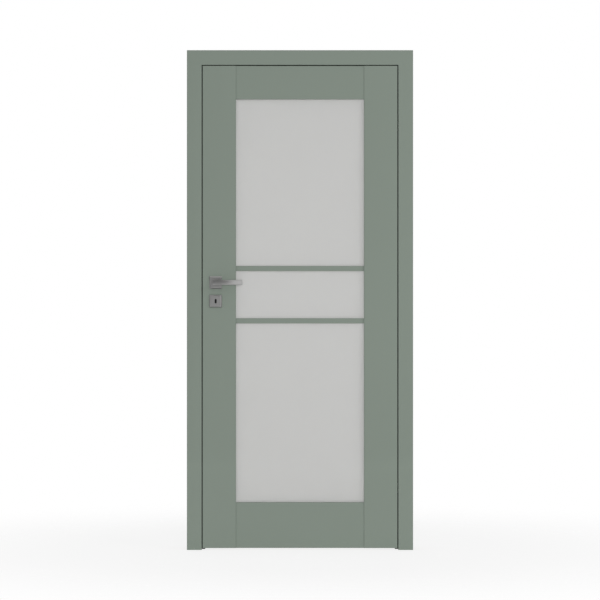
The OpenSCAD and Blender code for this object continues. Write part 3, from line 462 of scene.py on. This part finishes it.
# %% [markdown]
# ## Rings and lofts
#
# The lever, the rosettes and the screws are turned, cast or pressed, so all of them can be thought of
# as a stack of rings. They could be cut from blocks with booleans, but the cuts leave slivers that
# catch the light. Skinning one ring to the next gives even four-sided faces, and highlights run
# smoothly over them.

# %% Lofts
ROUND_SIDES = 48
ROUND_ANGLES = [2 * math.pi * i / ROUND_SIDES for i in range(ROUND_SIDES)]


def add_object(name, mesh):
    piece = bpy.data.objects.new(name, mesh)
    scene.collection.objects.link(piece)
    return piece


def loft(bm, rings, closed=False):
    """Skins a stack of rings; its ends are capped, unless the stack closes on itself."""
    rows = [[bm.verts.new(point) for point in ring] for ring in rings]
    pairs = list(zip(rows, rows[1:]))
    if closed:
        pairs.append((rows[-1], rows[0]))
    count = len(rows[0])
    for one, other in pairs:
        for i in range(count):
            j = (i + 1) % count
            bm.faces.new((one[i], one[j], other[j], other[i]))
    if not closed:
        bm.faces.new(rows[0])
        bm.faces.new(list(reversed(rows[-1])))


def finish_mesh(name, bm, sharp_deg=40):
    """A mesh with its faces outwards, smooth but for the edges that turn more than sharp_deg."""
    bmesh.ops.recalc_face_normals(bm, faces=bm.faces[:])
    for face in bm.faces:
        face.smooth = True
    for edge in bm.edges:
        if len(edge.link_faces) == 2 and edge.calc_face_angle() > math.radians(sharp_deg):
            edge.smooth = False
    mesh = bpy.data.meshes.new(name)
    bm.to_mesh(mesh)
    bm.free()
    return mesh


print("sides of a round piece:", ROUND_SIDES)

# %% [markdown]
# ## The levers
#
# A lever is cast, then ground and polished, so it has no hard edge anywhere. Its grip is a rounded bar
# that bows away from the door, with a front that is a little crowned, and a round neck carries it. A
# bevelled block with a bend modifier would come close. Rings are used because each station along the
# bow can have its own size: at both ends they shrink along a quarter of an ellipse, which rounds the
# end off, and the neck's rings widen where it runs into the grip.

# %% Grip
AXIS = Vector(next(joint["pos_m"] for joint in frame["joints"] if joint["name"] == "handle_turn"))
GRIP_THICK = 11 * MM
GRIP_BOW = 250 * MM
GRIP_CROWN = 0.4 * MM
GRIP_EDGE = 1.6 * MM
LEAST_EDGE = 0.8 * MM
TIP_ROUND = 2.2 * MM
HEEL_ROUND = 5 * MM
HEEL_INSET = 3.4 * MM
GRIP_STATIONS = 24
END_STEPS = 6


def bar_section(half_thick, half_high, corner, steps=6):
    """A rounded bar's section; its outer face is crowned, so it falls off to both edges."""
    corners = ((1, 1), (-1, 1), (-1, -1), (1, -1))
    flat_t, flat_h = half_thick - corner, half_high - corner
    ring = []
    for turn, (here, there) in enumerate(zip(corners, corners[1:] + corners[:1])):
        arc = [math.radians(90 * turn + 90 * k / steps) for k in range(steps + 1)]
        ring += [(here[0] * flat_t + corner * math.cos(a), here[1] * flat_h + corner * math.sin(a))
                 for a in arc]
        start = Vector(ring[-1])
        end = start + Vector(((there[0] - here[0]) * flat_t, (there[1] - here[1]) * flat_h))
        ring += [tuple(start.lerp(end, k / steps)) for k in range(1, steps)]
    return [(r - GRIP_CROWN * (z / half_high) ** 2 if r > 0 else r, z) for r, z in ring]


def end_round(depth, inset):
    """Stations of a rounded end: how far in from it, and how much smaller the ring is there."""
    angles = [math.radians(90 - 90 * k / END_STEPS) for k in range(END_STEPS + 1)]
    return [(depth * (1 - math.sin(a)), inset * (1 - math.cos(a))) for a in angles]


def grip_rings(tip, heel, height, stand, place):
    """Rings from the tip to the heel, which reach tip and heel to the right and left of the axis."""
    middle = (tip - heel) / 2
    half_turn = math.asin((tip - middle) / GRIP_BOW)
    full = 2 * half_turn * GRIP_BOW
    stations = end_round(TIP_ROUND, TIP_ROUND)
    stations += [(full * k / GRIP_STATIONS, 0.0) for k in range(1, GRIP_STATIONS - 1)]
    stations += [(full - far, inset) for far, inset in reversed(end_round(HEEL_ROUND, HEEL_INSET))]
    rings = []
    for far, inset in stations:
        angle = math.pi / 2 - half_turn + far / GRIP_BOW
        corner = max(GRIP_EDGE - inset, LEAST_EDGE)
        ring = []
        for r, z in bar_section(GRIP_THICK / 2 - inset, height / 2 - inset, corner):
            reach = GRIP_BOW - GRIP_THICK / 2 + r
            out = stand - GRIP_BOW + reach * math.sin(angle)
            ring.append(place(middle + reach * math.cos(angle), out, z))
        rings.append(ring)
    return rings


print("handle axis:", tuple(round(v, 4) for v in AXIS))

# %% Levers
NECK_RADIUS = 9 * MM
# How far out from the leaf's face, and how much wider than the neck, in millimetres
NECK_FLARE = ((0.5, 0), (34, 0), (37, 0.25), (40, 0.8), (44, 1.1))


def neck_rings(place):
    rings = []
    for out, wider in NECK_FLARE:
        radius = NECK_RADIUS + wider * MM
        rings.append([place(radius * math.cos(a), out * MM, radius * math.sin(a)) for a in ROUND_ANGLES])
    return rings


def lever_form(name, node, face_y, sign):
    low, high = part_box(node)
    stand = abs((low.y if sign < 0 else high.y) - face_y)

    def place(x, out, z):
        return (AXIS.x + x, face_y + sign * out, AXIS.z + z)

    bm = bmesh.new()
    loft(bm, grip_rings(high.x - AXIS.x, AXIS.x - low.x, high.z - low.z, stand, place))
    loft(bm, neck_rings(place))
    return add_object(name, finish_mesh(name, bm))


for name, node, face_y, sign in (("front_lever_form", "front_lever", front_y, -1),
                                 ("back_lever_form", "back_lever", back_y, 1)):
    lever = lever_form(name, node, face_y, sign)
    lever.data.materials.append(NICKEL)
    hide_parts(node)
    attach(lever, "handle")
    print(name, "faces:", len(lever.data.polygons))

# %% [markdown]
# ## The rosettes
#
# Each rosette is a pressed square cover with a broad bevel, with a round hole for the neck or a slot
# for the key. A bevelled block with a boolean hole would look alike from afar, but a folded sheet has
# no sharp edge, and its soft corners are what catch the light. So a line is drawn from the leaf's face
# up the side, over the bevel, across the front to the hole and back down inside. It is softened at the
# corners that show, and one closed loft along it makes the whole shell. Rays from the middle say where
# a ring's points lie, whether it is a rounded square, a circle or a slot.

# %% Rings by rays
SIDE_RAYS = range(-40, 41, 5)
# Rays are closer together at the corners, where a square turns.
CORNER_RAYS = range(42, 49)
RAY_ANGLES = [math.radians(90 * quarter + ray)
              for quarter in range(4) for ray in (*SIDE_RAYS, *CORNER_RAYS)]
# The share of a side that a rounded corner may take
MOST_CUT = 0.45


def round_square_reach(angle, half, corner):
    """How far a ray goes before it meets a rounded square."""
    c, s = abs(math.cos(angle)), abs(math.sin(angle))
    flat = half / max(c, s)
    if min(c, s) * flat <= half - corner:
        return flat
    along = (c + s) * (half - corner)
    return along + math.sqrt(along ** 2 - 2 * (half - corner) ** 2 + corner ** 2)


def slot_reach(angle, half_width, half_height):
    """How far a ray goes before it meets an upright slot with round ends."""
    c, s = abs(math.cos(angle)), abs(math.sin(angle))
    straight = half_height - half_width
    if half_width * s <= straight * c:
        return half_width / c
    along = s * straight
    return along + math.sqrt(along ** 2 - straight ** 2 + half_width ** 2)


def soften(points, radius, steps=4):
    """The same line with its inner corners rounded."""
    line = [points[0]]
    for before, here, after in zip(points, points[1:], points[2:]):
        corner = Vector(here)
        back, on = Vector(before) - corner, Vector(after) - corner
        cut = min(radius, back.length * MOST_CUT, on.length * MOST_CUT)
        start, end = corner + back.normalized() * cut, corner + on.normalized() * cut
        for k in range(steps + 1):
            t = k / steps
            line.append(tuple(start * (1 - t) ** 2 + corner * 2 * t * (1 - t) + end * t ** 2))
    line.append(points[-1])
    return line


print("rays in a ring:", len(RAY_ANGLES))

# %% Rosettes
BEVEL = 3.5 * MM
RIM_WALL = 1.5 * MM
FACE_WALL = 2 * MM
RIM_CORNER = 2.0 * MM
HOLLOW_CORNER = 1.2 * MM
FOLD_ROUND = 0.7 * MM
MOUTH_LAND = 1.2 * MM
MOUTH_ROUND = 0.5 * MM
NECK_HOLE = 9.4 * MM
KEYHOLE_HALF_WIDTH = 4 * MM
KEYHOLE_HALF_HEIGHT = 9.5 * MM


def square(half, corner):
    return lambda angle: round_square_reach(angle, half, corner)


def opening(hole, grow):
    """The reach of the neck's hole or of the keyhole, widened by grow."""
    if hole == "neck":
        return lambda angle: NECK_HOLE + grow
    return lambda angle: slot_reach(angle, KEYHOLE_HALF_WIDTH + grow, KEYHOLE_HALF_HEIGHT + grow)


def rosette_form(name, node, face_y, sign, hole):
    low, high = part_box(node)
    middle = (low + high) / 2
    half = (high.x - low.x) / 2
    thick = high.y - low.y
    under = thick - FACE_WALL
    hollow = half - RIM_WALL
    inner = hollow - BEVEL

    def ring(reach, out):
        return [(middle.x + reach(a) * math.cos(a), face_y + sign * out, middle.z + reach(a) * math.sin(a))
                for a in RAY_ANGLES]

    outside = [(half, 0), (half, thick - BEVEL), (half - BEVEL, thick), (half - 2 * BEVEL, thick)]
    mouth = [(MOUTH_LAND, thick), (0, thick), (0, under)]
    inside = [(inner, under), (inner, under - BEVEL), (hollow, under - BEVEL), (hollow, 0)]
    rings = [ring(square(size, RIM_CORNER), out) for size, out in soften(outside, FOLD_ROUND)]
    rings += [ring(opening(hole, grow), out) for grow, out in soften(mouth, MOUTH_ROUND)]
    rings += [ring(square(size, HOLLOW_CORNER), out) for size, out in inside]
    bm = bmesh.new()
    loft(bm, rings, closed=True)
    return add_object(name, finish_mesh(name, bm))


for side, face_y, sign in (("front", front_y, -1), ("back", back_y, 1)):
    for kind, hole in (("lever", "neck"), ("key", "slot")):
        node = f"{side}_{kind}_rosette"
        cover = rosette_form(node + "_form", node, face_y, sign, hole)
        cover.data.materials.append(NICKEL)
        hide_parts(node)
        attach(cover, "leaf")
        print(cover.name, "faces:", len(cover.data.polygons))

# %% [markdown]
# ## The screws, by Geometry Nodes
#
# The same small countersunk screw holds the hinges, the faceplate and the strike plate. Each could be
# modelled in its place, but then a better head would have to be made many times. So one screw is
# lofted, with a six-lobed drive in its head, and Geometry Nodes sets a copy on every point of a point
# cloud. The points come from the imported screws: each separate solid gives its head's middle and the
# way it faces, and an attribute keeps that to turn the copy.

# %% One screw
# Radius and height in millimetres, from the tip up to the head's flat, then down into the drive
SCREW_SIDE = ((0.3, -20), (1.75, -16), (1.75, -2), (3.4, -0.12), (3.3, 0), (2.0, 0))
DRIVE_WALL = ((1.45, -0.03), (1.35, -1.3))
DRIVE_LOBES = 6
LOBE_DEPTH = 0.22
SCREW_SHARP = 35


def screw_mesh(name):
    def ring(radius, z, lobe):
        radii = [(radius + lobe * math.cos(DRIVE_LOBES * a)) * MM for a in ROUND_ANGLES]
        return [(r * math.cos(a), r * math.sin(a), z * MM) for r, a in zip(radii, ROUND_ANGLES)]

    rings = [ring(radius, z, 0) for radius, z in SCREW_SIDE]
    rings += [ring(radius, z, LOBE_DEPTH) for radius, z in DRIVE_WALL]
    bm = bmesh.new()
    loft(bm, rings)
    return finish_mesh(name, bm, sharp_deg=SCREW_SHARP)


SCREW = add_object("one_screw", screw_mesh("one_screw"))
print("screw faces:", len(SCREW.data.polygons))

# %% Where the screws sit
SAME_POINT = 0.005 * MM
SAME_PLANE = 0.05 * MM


def loose_parts(node):
    """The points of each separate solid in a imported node."""
    bm = bmesh.new()
    bm.from_mesh(nodes[node].data)
    bmesh.ops.remove_doubles(bm, verts=bm.verts[:], dist=SAME_POINT)
    seen, parts = set(), []
    for start in bm.verts:
        if start in seen:
            continue
        seen.add(start)
        island, queue = [], [start]
        while queue:
            vert = queue.pop()
            island.append(vert.co.copy())
            for edge in vert.link_edges:
                other = edge.other_vert(vert)
                if other not in seen:
                    seen.add(other)
                    queue.append(other)
        parts.append(island)
    bm.free()
    return parts


def head_of(points):
    """The middle of a screw's wider end, and the way that this end faces."""
    low = Vector(min(point[i] for point in points) for i in range(3))
    high = Vector(max(point[i] for point in points) for i in range(3))
    middle = (low + high) / 2

    def width(x):
        return max(abs(point.z - middle.z) for point in points if abs(point.x - x) < SAME_PLANE)

    if width(low.x) > width(high.x):
        return Vector((low.x, middle.y, middle.z)), Vector((-1, 0, 0))
    return Vector((high.x, middle.y, middle.z)), Vector((1, 0, 0))


SCREW_BODIES = {"frame_screws": "frame", "leaf_screws": "leaf"}
SCREW_HEADS = {node: [head_of(points) for points in loose_parts(node)] for node in SCREW_BODIES}
print("screws:", {node: len(heads) for node, heads in SCREW_HEADS.items()})

# %% Copies on points
OBJECT = "NodeSocketObject"
MATERIAL = "NodeSocketMaterial"


def copies_group():
    tree, entry, leave = new_group(
        "copies_on_points", "GeometryNodeTree",
        [("Geometry", GEOMETRY), ("Part", OBJECT), ("Material", MATERIAL)],
        [("Geometry", GEOMETRY)],
    )
    info = tree.nodes.new("GeometryNodeObjectInfo")
    facing = tree.nodes.new("GeometryNodeInputNamedAttribute")
    facing.data_type = "FLOAT_VECTOR"
    facing.inputs["Name"].default_value = "facing"
    align = tree.nodes.new("FunctionNodeAlignRotationToVector")
    align.axis = "Z"
    copy = tree.nodes.new("GeometryNodeInstanceOnPoints")
    real = tree.nodes.new("GeometryNodeRealizeInstances")
    paint = tree.nodes.new("GeometryNodeSetMaterial")
    link = tree.links.new
    link(entry.outputs["Part"], info.inputs["Object"])
    link(entry.outputs["Geometry"], copy.inputs["Points"])
    link(info.outputs["Geometry"], copy.inputs["Instance"])
    link(facing.outputs["Attribute"], align.inputs["Vector"])
    link(align.outputs["Rotation"], copy.inputs["Rotation"])
    link(copy.outputs["Instances"], real.inputs["Geometry"])
    link(real.outputs["Geometry"], paint.inputs["Geometry"])
    link(entry.outputs["Material"], paint.inputs["Material"])
    link(paint.outputs["Geometry"], leave.inputs["Geometry"])
    return tree


def bake(holder, group, values, name):
    """Runs a group on an object and keeps the result as a plain mesh on an object of its own."""
    modifier = holder.modifiers.new(group.name, "NODES")
    modifier.node_group = group
    identifiers = inputs_of(group)
    for label, value in values.items():
        modifier[identifiers[label]] = value
    bpy.context.view_layer.update()
    ready = holder.evaluated_get(bpy.context.evaluated_depsgraph_get())
    mesh = bpy.data.meshes.new_from_object(ready)
    mesh.name = name
    bpy.data.objects.remove(holder)
    return add_object(name, mesh)


COPIES = copies_group()
for node, body in SCREW_BODIES.items():
    heads = SCREW_HEADS[node]
    cloud = bpy.data.meshes.new(node + "_points")
    cloud.from_pydata([place for place, _ in heads], [], [])
    facing = cloud.attributes.new("facing", "FLOAT_VECTOR", "POINT")
    for k, (_, way) in enumerate(heads):
        facing.data[k].vector = way
    holder = add_object(node + "_holder", cloud)
    screws = bake(holder, COPIES, {"Part": SCREW, "Material": STEEL}, node + "_form")
    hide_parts(node)
    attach(screws, body)
    print(screws.name, "faces:", len(screws.data.polygons))
bpy.data.objects.remove(SCREW)

# %% [markdown]
# ## The latch spring, by Geometry Nodes
#
# Behind the latch sits a coil spring of steel wire. A coil is a rule: so many turns, of one radius,
# over one length, of one wire. A screw modifier on a small circle could wind it too, but the spiral
# curve node takes exactly those values, and the circle swept along it is the wire. In the lock the
# coil shortens towards its fixed end by the latch's travel when the lever draws the latch in; the
# coil made here is wound once, at the length of the imported spring.

# %% Coil
COIL_TURNS = 7.0
COIL_RADIUS = 4.4 * MM
WIRE_RADIUS = 0.6 * MM
SIDES_PER_TURN = 24
WIRE_SIDES = 10


def spring_group():
    tree, entry, leave = new_group(
        "coil_spring", "GeometryNodeTree",
        [("Turns", NUMBER), ("Coil Radius", NUMBER), ("Wire Radius", NUMBER), ("Length", NUMBER),
         ("Material", MATERIAL)],
        [("Geometry", GEOMETRY)],
    )
    spiral = tree.nodes.new("GeometryNodeCurveSpiral")
    spiral.inputs["Resolution"].default_value = SIDES_PER_TURN
    wire = tree.nodes.new("GeometryNodeCurvePrimitiveCircle")
    wire.inputs["Resolution"].default_value = WIRE_SIDES
    sweep = tree.nodes.new("GeometryNodeCurveToMesh")
    sweep.inputs["Fill Caps"].default_value = True
    real = tree.nodes.new("GeometryNodeRealizeInstances")
    paint = tree.nodes.new("GeometryNodeSetMaterial")
    link = tree.links.new
    link(entry.outputs["Turns"], spiral.inputs["Rotations"])
    link(entry.outputs["Coil Radius"], spiral.inputs["Start Radius"])
    link(entry.outputs["Coil Radius"], spiral.inputs["End Radius"])
    link(entry.outputs["Length"], spiral.inputs["Height"])
    link(entry.outputs["Wire Radius"], wire.inputs["Radius"])
    link(spiral.outputs["Curve"], sweep.inputs["Curve"])
    link(wire.outputs["Curve"], sweep.inputs["Profile Curve"])
    link(sweep.outputs["Mesh"], real.inputs["Geometry"])
    link(real.outputs["Geometry"], paint.inputs["Geometry"])
    link(entry.outputs["Material"], paint.inputs["Material"])
    link(paint.outputs["Geometry"], leave.inputs["Geometry"])
    return tree


COIL = spring_group()
print(COIL.name, "takes", ", ".join(inputs_of(COIL)))

# %% Latch spring
spring_low, spring_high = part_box("latch_spring")
spring_middle = (spring_low + spring_high) / 2
spring_length = spring_high.x - spring_low.x
coil_values = {
    "Turns": COIL_TURNS, "Coil Radius": COIL_RADIUS, "Wire Radius": WIRE_RADIUS,
    "Length": spring_length - 2 * WIRE_RADIUS, "Material": STEEL,
}
holder = add_object("spring_holder", bpy.data.meshes.new("spring_holder"))
spring = bake(holder, COIL, coil_values, "latch_spring_form")
# The spiral climbs along Z, and the spring lies along X.
for vert in spring.data.vertices:
    x, y, z = vert.co
    vert.co = (spring_low.x + WIRE_RADIUS + z, spring_middle.y + y, spring_middle.z - x)
for face in spring.data.polygons:
    face.use_smooth = True
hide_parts("latch_spring")
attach(spring, "leaf")
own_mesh(spring)

# %% [markdown]
# ## The white room
#
# The picture has a plain white background and very even light. A white box could be built round the
# door, but each of its walls would need light of its own. The world does it with one strength: it is
# full white to the camera, and in what the glass and the metal show of it, and it lights the matt
# surfaces with about half of that. The panels in the next step give the rest, and a direction.

# %% World
WORLD_WHITE = 1.0
WORLD_LIGHT = 0.47


def background_rays(tree):
    """One for a ray that shows the background: from the camera, through the glass or off the metal."""
    rays = tree.nodes.new("ShaderNodeLightPath")
    shown = calc(tree, "MAXIMUM", rays.outputs["Is Camera Ray"], rays.outputs["Is Transmission Ray"])
    return calc(tree, "MAXIMUM", shown, rays.outputs["Is Glossy Ray"])


scene.view_settings.view_transform = "Standard"
world = bpy.data.worlds.new("studio")
scene.world = world
world.use_nodes = True
sky = world.node_tree.nodes["Background"]
sky.inputs["Color"].default_value = (1, 1, 1, 1)
strength = world.node_tree.nodes.new("ShaderNodeMapRange")
strength.inputs["To Min"].default_value = WORLD_LIGHT
strength.inputs["To Max"].default_value = WORLD_WHITE
world.node_tree.links.new(background_rays(world.node_tree), strength.inputs["Value"])
world.node_tree.links.new(strength.outputs["Result"], sky.inputs["Strength"])
print("world:", WORLD_WHITE, "to the eye and", WORLD_LIGHT, "as light")

# %% [markdown]
# ## The light panels
#
# A sun or a point lamp would draw hard shadows, and the size of a panel sets how soft its shadows are.
# The main one stands near the line of sight, so the lever and the recesses throw their shadows almost
# straight back, where the camera hardly sees them. A weak one high on the right makes the two sides of
# the door unequal, and a large one behind the door lights its far side. None of them shows in the
# metal, where they would be hard bright squares.

# %% Panels
PANEL_AIM = Vector((0, 0, 1.05))
# Where each one stands, the length of its side in metres, and its power in watts
PANELS = {
    "front_panel": ((0.5, -7.0, 1.12), 1.2, 246),
    "side_panel": ((5.5, -5.0, 4.0), 2.5, 60),
    "back_panel": ((-0.6, 7.0, 1.2), 5.0, 230),
}
for name, (place, size, power) in PANELS.items():
    data = bpy.data.lights.new(name, "AREA")
    data.shape = "SQUARE"
    data.size = size
    data.energy = power
    lamp = bpy.data.objects.new(name, data)
    lamp.location = place
    lamp.rotation_euler = (PANEL_AIM - Vector(place)).to_track_quat("-Z", "Y").to_euler()
    lamp.visible_glossy = False
    scene.collection.objects.link(lamp)
    print(name, "at", place, "gives", power, "W")

# %% [markdown]
# ## A dark flag for the metal
#
# Metal shows what stands round it, and in an all-white room it would look flat. A darker metal would
# only be darker all over. Photographers put up dark screens, called flags, to draw a gradient on it.
# This one has an upright arc from the left round to the front, which darkens the lever near its neck
# and leaves its tip bright. A shorter arc at the right and a low apron in front hold back the rosettes'
# right and lower bevels. Only reflections show the flag, and it throws no shadow.

# %% Dark flag
FLAG_GREY = (0.27, 0.27, 0.27)
FLAG_RADIUS = 3.0
FLAG_HEIGHTS = (0.75, 4.5)
FLAG_STEP = 4.5
# The angle where each arc starts, from straight ahead round to the right, and its number of steps
FLAG_ARCS = ((-88, 19), (65, 10))
APRON_HEIGHT = 0.35
APRON_CORNERS = ((-1.6, -1.3), (0.8, -1.3), (0.8, -0.12), (-1.6, -0.12))

flag_points, flag_faces = [], []
for start, steps in FLAG_ARCS:
    for k in range(steps + 1):
        turn = math.radians(start + FLAG_STEP * k)
        x, y = FLAG_RADIUS * math.sin(turn), -FLAG_RADIUS * math.cos(turn)
        flag_points += [(x, y, z) for z in FLAG_HEIGHTS]
        if k:
            last = len(flag_points) - 1
            flag_faces.append((last - 3, last - 1, last, last - 2))
flag_faces.append(tuple(len(flag_points) + k for k in range(len(APRON_CORNERS))))
flag_points += [(x, y, APRON_HEIGHT) for x, y in APRON_CORNERS]

flag_mesh = bpy.data.meshes.new("dark_flag")
flag_mesh.from_pydata(flag_points, [], flag_faces)
flag_mat, shader = new_material("dark_flag", FLAG_GREY)
shader.inputs["Base Color"].default_value = (*FLAG_GREY, 1)
shader.inputs["Roughness"].default_value = 1.0
flag_mesh.materials.append(flag_mat)
flag = add_object("dark_flag", flag_mesh)
flag.visible_camera = False
flag.visible_diffuse = False
flag.visible_shadow = False
flag.visible_transmission = False
print("flag faces:", len(flag_faces))

# %% [markdown]
# ## The floor
#
# The door stands on a plain white floor that takes its shadow. A plane that is lit like the rest would
# look grey against the white world, and its far edge would draw a horizon. So most of what the camera,
# the glass and the metal see of it is a white glow, and the rest is the lit plane with the shadow on
# it. Both fade out between two named distances, and no edge shows.

# %% Floor
FLOOR_WHITE = (0.97, 0.97, 0.97)
FLOOR_HALF = 9
FADE_START = 0.7
FADE_END = 2.4
GLOW_SHARE = 0.8


def floor_finish():
    mat, shader = new_material("studio_floor", FLOOR_WHITE)
    tree = mat.node_tree
    shader.inputs["Base Color"].default_value = (*FLOOR_WHITE, 1)
    shader.inputs["Roughness"].default_value = 0.9
    shader.inputs["Specular IOR Level"].default_value = 0.0
    coords = tree.nodes.new("ShaderNodeTexCoord")
    span = tree.nodes.new("ShaderNodeVectorMath")
    span.operation = "LENGTH"
    fade = tree.nodes.new("ShaderNodeMapRange")
    fade.interpolation_type = "SMOOTHSTEP"
    fade.inputs["From Min"].default_value = FADE_START
    fade.inputs["From Max"].default_value = FADE_END
    fade.inputs["To Min"].default_value = 1.0
    fade.inputs["To Max"].default_value = 0.0
    glow = tree.nodes.new("ShaderNodeEmission")
    clear = tree.nodes.new("ShaderNodeBsdfTransparent")
    fading = tree.nodes.new("ShaderNodeMixShader")
    whole = tree.nodes.new("ShaderNodeMixShader")
    link = tree.links.new
    link(coords.outputs["Object"], span.inputs[0])
    link(span.outputs["Value"], fade.inputs["Value"])
    link(fade.outputs["Result"], shader.inputs["Alpha"])
    link(fade.outputs["Result"], fading.inputs["Fac"])
    link(clear.outputs[0], fading.inputs[1])
    link(glow.outputs[0], fading.inputs[2])
    link(calc(tree, "MULTIPLY", background_rays(tree), GLOW_SHARE), whole.inputs["Fac"])
    link(shader.outputs[0], whole.inputs[1])
    link(fading.outputs[0], whole.inputs[2])
    link(whole.outputs[0], tree.nodes["Material Output"].inputs["Surface"])
    return mat


corners = [(x * FLOOR_HALF, y * FLOOR_HALF, 0) for x, y in ((-1, -1), (1, -1), (1, 1), (-1, 1))]
floor_mesh = bpy.data.meshes.new("floor")
floor_mesh.from_pydata(corners, [], [(0, 1, 2, 3)])
floor_mesh.materials.append(floor_finish())
floor = add_object("floor", floor_mesh)
print("floor fades from", FADE_START, "to", FADE_END, "m")
